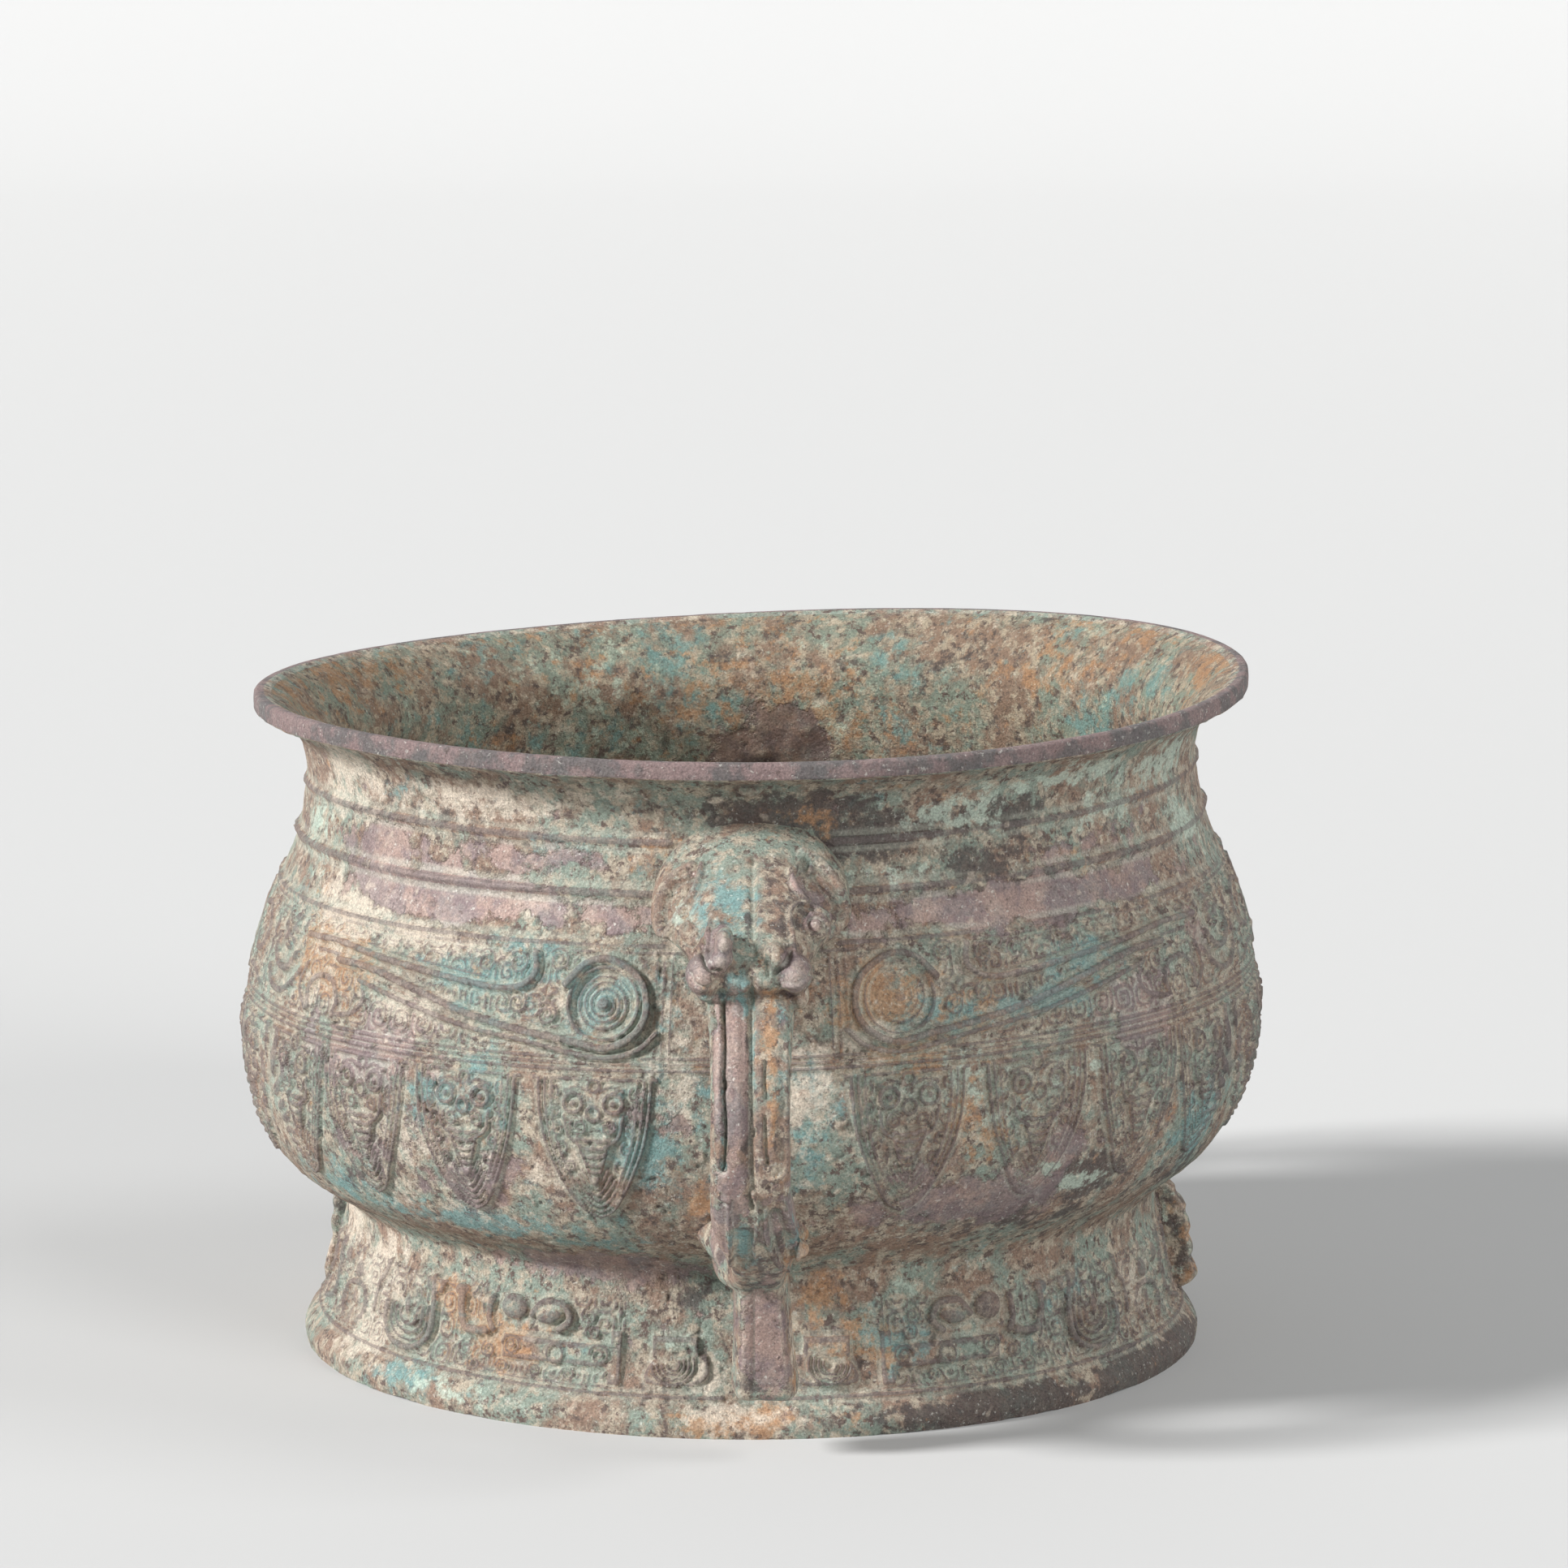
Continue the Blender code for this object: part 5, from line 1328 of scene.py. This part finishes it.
def flange(name, turn, edge, thick):
    bm = bmesh.new()
    sections = []
    for k in range(5):
        side = (k - 2) / 2
        shrink = 0.7 * abs(side) ** 3
        ring = []
        for reach, z in edge:
            thinned = reach if reach < FLANGE_ROOT else reach - shrink
            ring.append(Vector((thinned, side * thick / 2, z)) / 1000)
        sections.append(ring)
    loft(bm, sections)
    bmesh.ops.recalc_face_normals(bm, faces=bm.faces)
    mesh = bpy.data.meshes.new("fin")
    bm.to_mesh(mesh)
    bm.free()
    points, faces, ends = remeshed(mesh, FLANGE_VOXEL)
    points = smoothed(points, ends, 3)
    normal = normals_of(points, faces)
    bend = -((neighbours_mean(points, ends) - points) * normal).sum(1)
    rough = 0.25 * layered(points, 5.0, 171, 3) + 0.12 * layered(points, 1.4, 173, 2)
    radius = np.hypot(points[:, 0], points[:, 1])
    points = points + normal * (rough * step_up(radius, 91.0, 93.0))[:, None]
    c, s = math.cos(math.radians(turn)), math.sin(math.radians(turn))
    points = np.stack([points[:, 0] * c - points[:, 1] * s, points[:, 0] * s + points[:, 1] * c,
                       points[:, 2]], -1)
    values = {key: np.clip(0.32 + 0.5 * layered(points, 7.0, 180 + n, 3), 0, 1)
              for n, key in enumerate(REGIONS)}
    values["dark"] = np.clip(values["dark"] + 0.20, 0, 1)
    # Bends: raised edges painted lighter, partly as rubbed bronze and partly as a painted highlight, and
    # creases painted with shade
    values["wear_highlight_and_shade"] = np.clip(bend * 14, -1, 1)
    for key in ("crest", "rim", "inside"):
        values[key] = np.zeros(len(points))
    return make_piece(name, settled(points), faces, values)


RIGHT_EDGE = [
    (89.0, 33.0), (94.6, 32.7), (96.3, 31.4), (96.0, 30.4), (97.6, 29.2), (98.6, 27.4), (98.0, 26.4),
    (99.2, 24.6), (99.6, 22.6), (98.9, 21.6), (100.0, 19.6), (100.2, 17.6), (99.5, 16.6), (100.6, 14.8),
    (101.4, 12.4), (100.0, 10.6), (96.4, 9.0), (89.0, 9.0),
]
LEFT_EDGE = [
    (89.0, 33.0), (93.6, 32.6), (94.9, 30.4), (94.3, 28.0), (95.2, 25.0), (94.7, 21.6), (95.9, 17.6),
    (96.6, 13.6), (96.3, 10.4), (89.0, 9.2),
]

HANDLE = handle_chart()
# The side of a voxel on each handle, in millimetres: finer on the front handle than on the back one
FRONT_VOXEL = 0.42
BACK_VOXEL = 0.70

pieces = [
    rim_and_neck(),
    wall_band("shoulder", "middle", "top", 64),
    wall_band("belly", "low", "middle", 70),
    bowl_bottom(),
    ring_foot(),
    handle("front_handle", FRONT_VOXEL, True),
    handle("back_handle", BACK_VOXEL, False),
    flange("right_flange", 0.0, RIGHT_EDGE, 6.6),
    flange("left_flange", 180.0, LEFT_EDGE, 6.2),
]
for piece in pieces:
    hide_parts("vessel")

# Floor, light and camera
floor_mesh = bpy.data.meshes.new("floor")
# The floor runs back, curves up and ends as a wall: its profile, in metres
sweep = [(-6.0, 0.0), (3.0, 0.0)]
sweep += [(3.0 + 1.5 * math.sin(t), 1.5 - 1.5 * math.cos(t)) for t in np.linspace(0.1, 1.55, 12)]
sweep.append((4.5, 6.0))
floor_points = [(x, y, z) for y, z in sweep for x in (-9.0, 9.0)]
floor_faces = [(2 * k, 2 * k + 1, 2 * k + 3, 2 * k + 2) for k in range(len(sweep) - 1)]
floor_mesh.from_pydata(floor_points, [], floor_faces)
floor_mesh.shade_smooth()
floor_piece = bpy.data.objects.new("floor", floor_mesh)
bpy.context.scene.collection.objects.link(floor_piece)
pale = bpy.data.materials.new("floor")
pale.use_nodes = True
pale.node_tree.nodes["Principled BSDF"].inputs["Base Color"].default_value = (0.50, 0.495, 0.485, 1.0)
pale.node_tree.nodes["Principled BSDF"].inputs["Roughness"].default_value = 0.9
floor_mesh.materials.append(pale)

world = bpy.data.worlds.new("studio")
world.use_nodes = True
world.node_tree.nodes["Background"].inputs["Color"].default_value = (0.90, 0.95, 1.0, 1.0)
world.node_tree.nodes["Background"].inputs["Strength"].default_value = 0.29
bpy.context.scene.world = world
bpy.context.scene.view_settings.view_transform = "Standard"


def soft_light(name, azimuth, elevation, width, strength, tint):
    """A broad, distant light. Azimuth 0 stands behind the camera and -90 to its left."""
    lamp = bpy.data.lights.new(name, "SUN")
    lamp.angle, lamp.energy, lamp.color = math.radians(width), strength, tint
    a, e = math.radians(azimuth), math.radians(elevation)
    towards = Vector((math.sin(a) * math.cos(e), -math.cos(a) * math.cos(e), math.sin(e)))
    thing = bpy.data.objects.new(name, lamp)
    thing.rotation_mode = "QUATERNION"
    thing.rotation_quaternion = towards.to_track_quat("Z", "Y")
    bpy.context.scene.collection.objects.link(thing)


soft_light("key", -70, 30, 12, 5.4, (0.985, 0.99, 1.0))
soft_light("fill", 36, 24, 22, 1.45, (0.98, 0.99, 1.0))
soft_light("top", 84, 46, 24, 0.8, (0.98, 0.99, 1.0))

# The camera, turned a little so that the vessel lies in the frame as in the photograph
back = Vector((0, -math.cos(ELEVATION), math.sin(ELEVATION)))
forward, right = -back, Vector((1, 0, 0))
up = right.cross(forward)
forward = forward * math.cos(TILT) - up * math.sin(TILT)
up = right.cross(forward)
forward = forward * math.cos(PAN) - right * math.sin(PAN)
right = forward.cross(up).normalized()
up = right.cross(forward)
camera_data = bpy.data.cameras.new("camera")
camera_data.lens, camera_data.sensor_width = LENS, 36.0
camera_data.clip_start, camera_data.clip_end = 0.05, 20.0
camera = bpy.data.objects.new("camera", camera_data)
matrix = Matrix((
    (right.x, up.x, -forward.x, back.x * DISTANCE),
    (right.y, up.y, -forward.y, back.y * DISTANCE),
    (right.z, up.z, -forward.z, back.z * DISTANCE),
    (0, 0, 0, 1),
))
bpy.context.scene.collection.objects.link(camera)
camera.matrix_world = matrix
bpy.context.scene.camera = camera
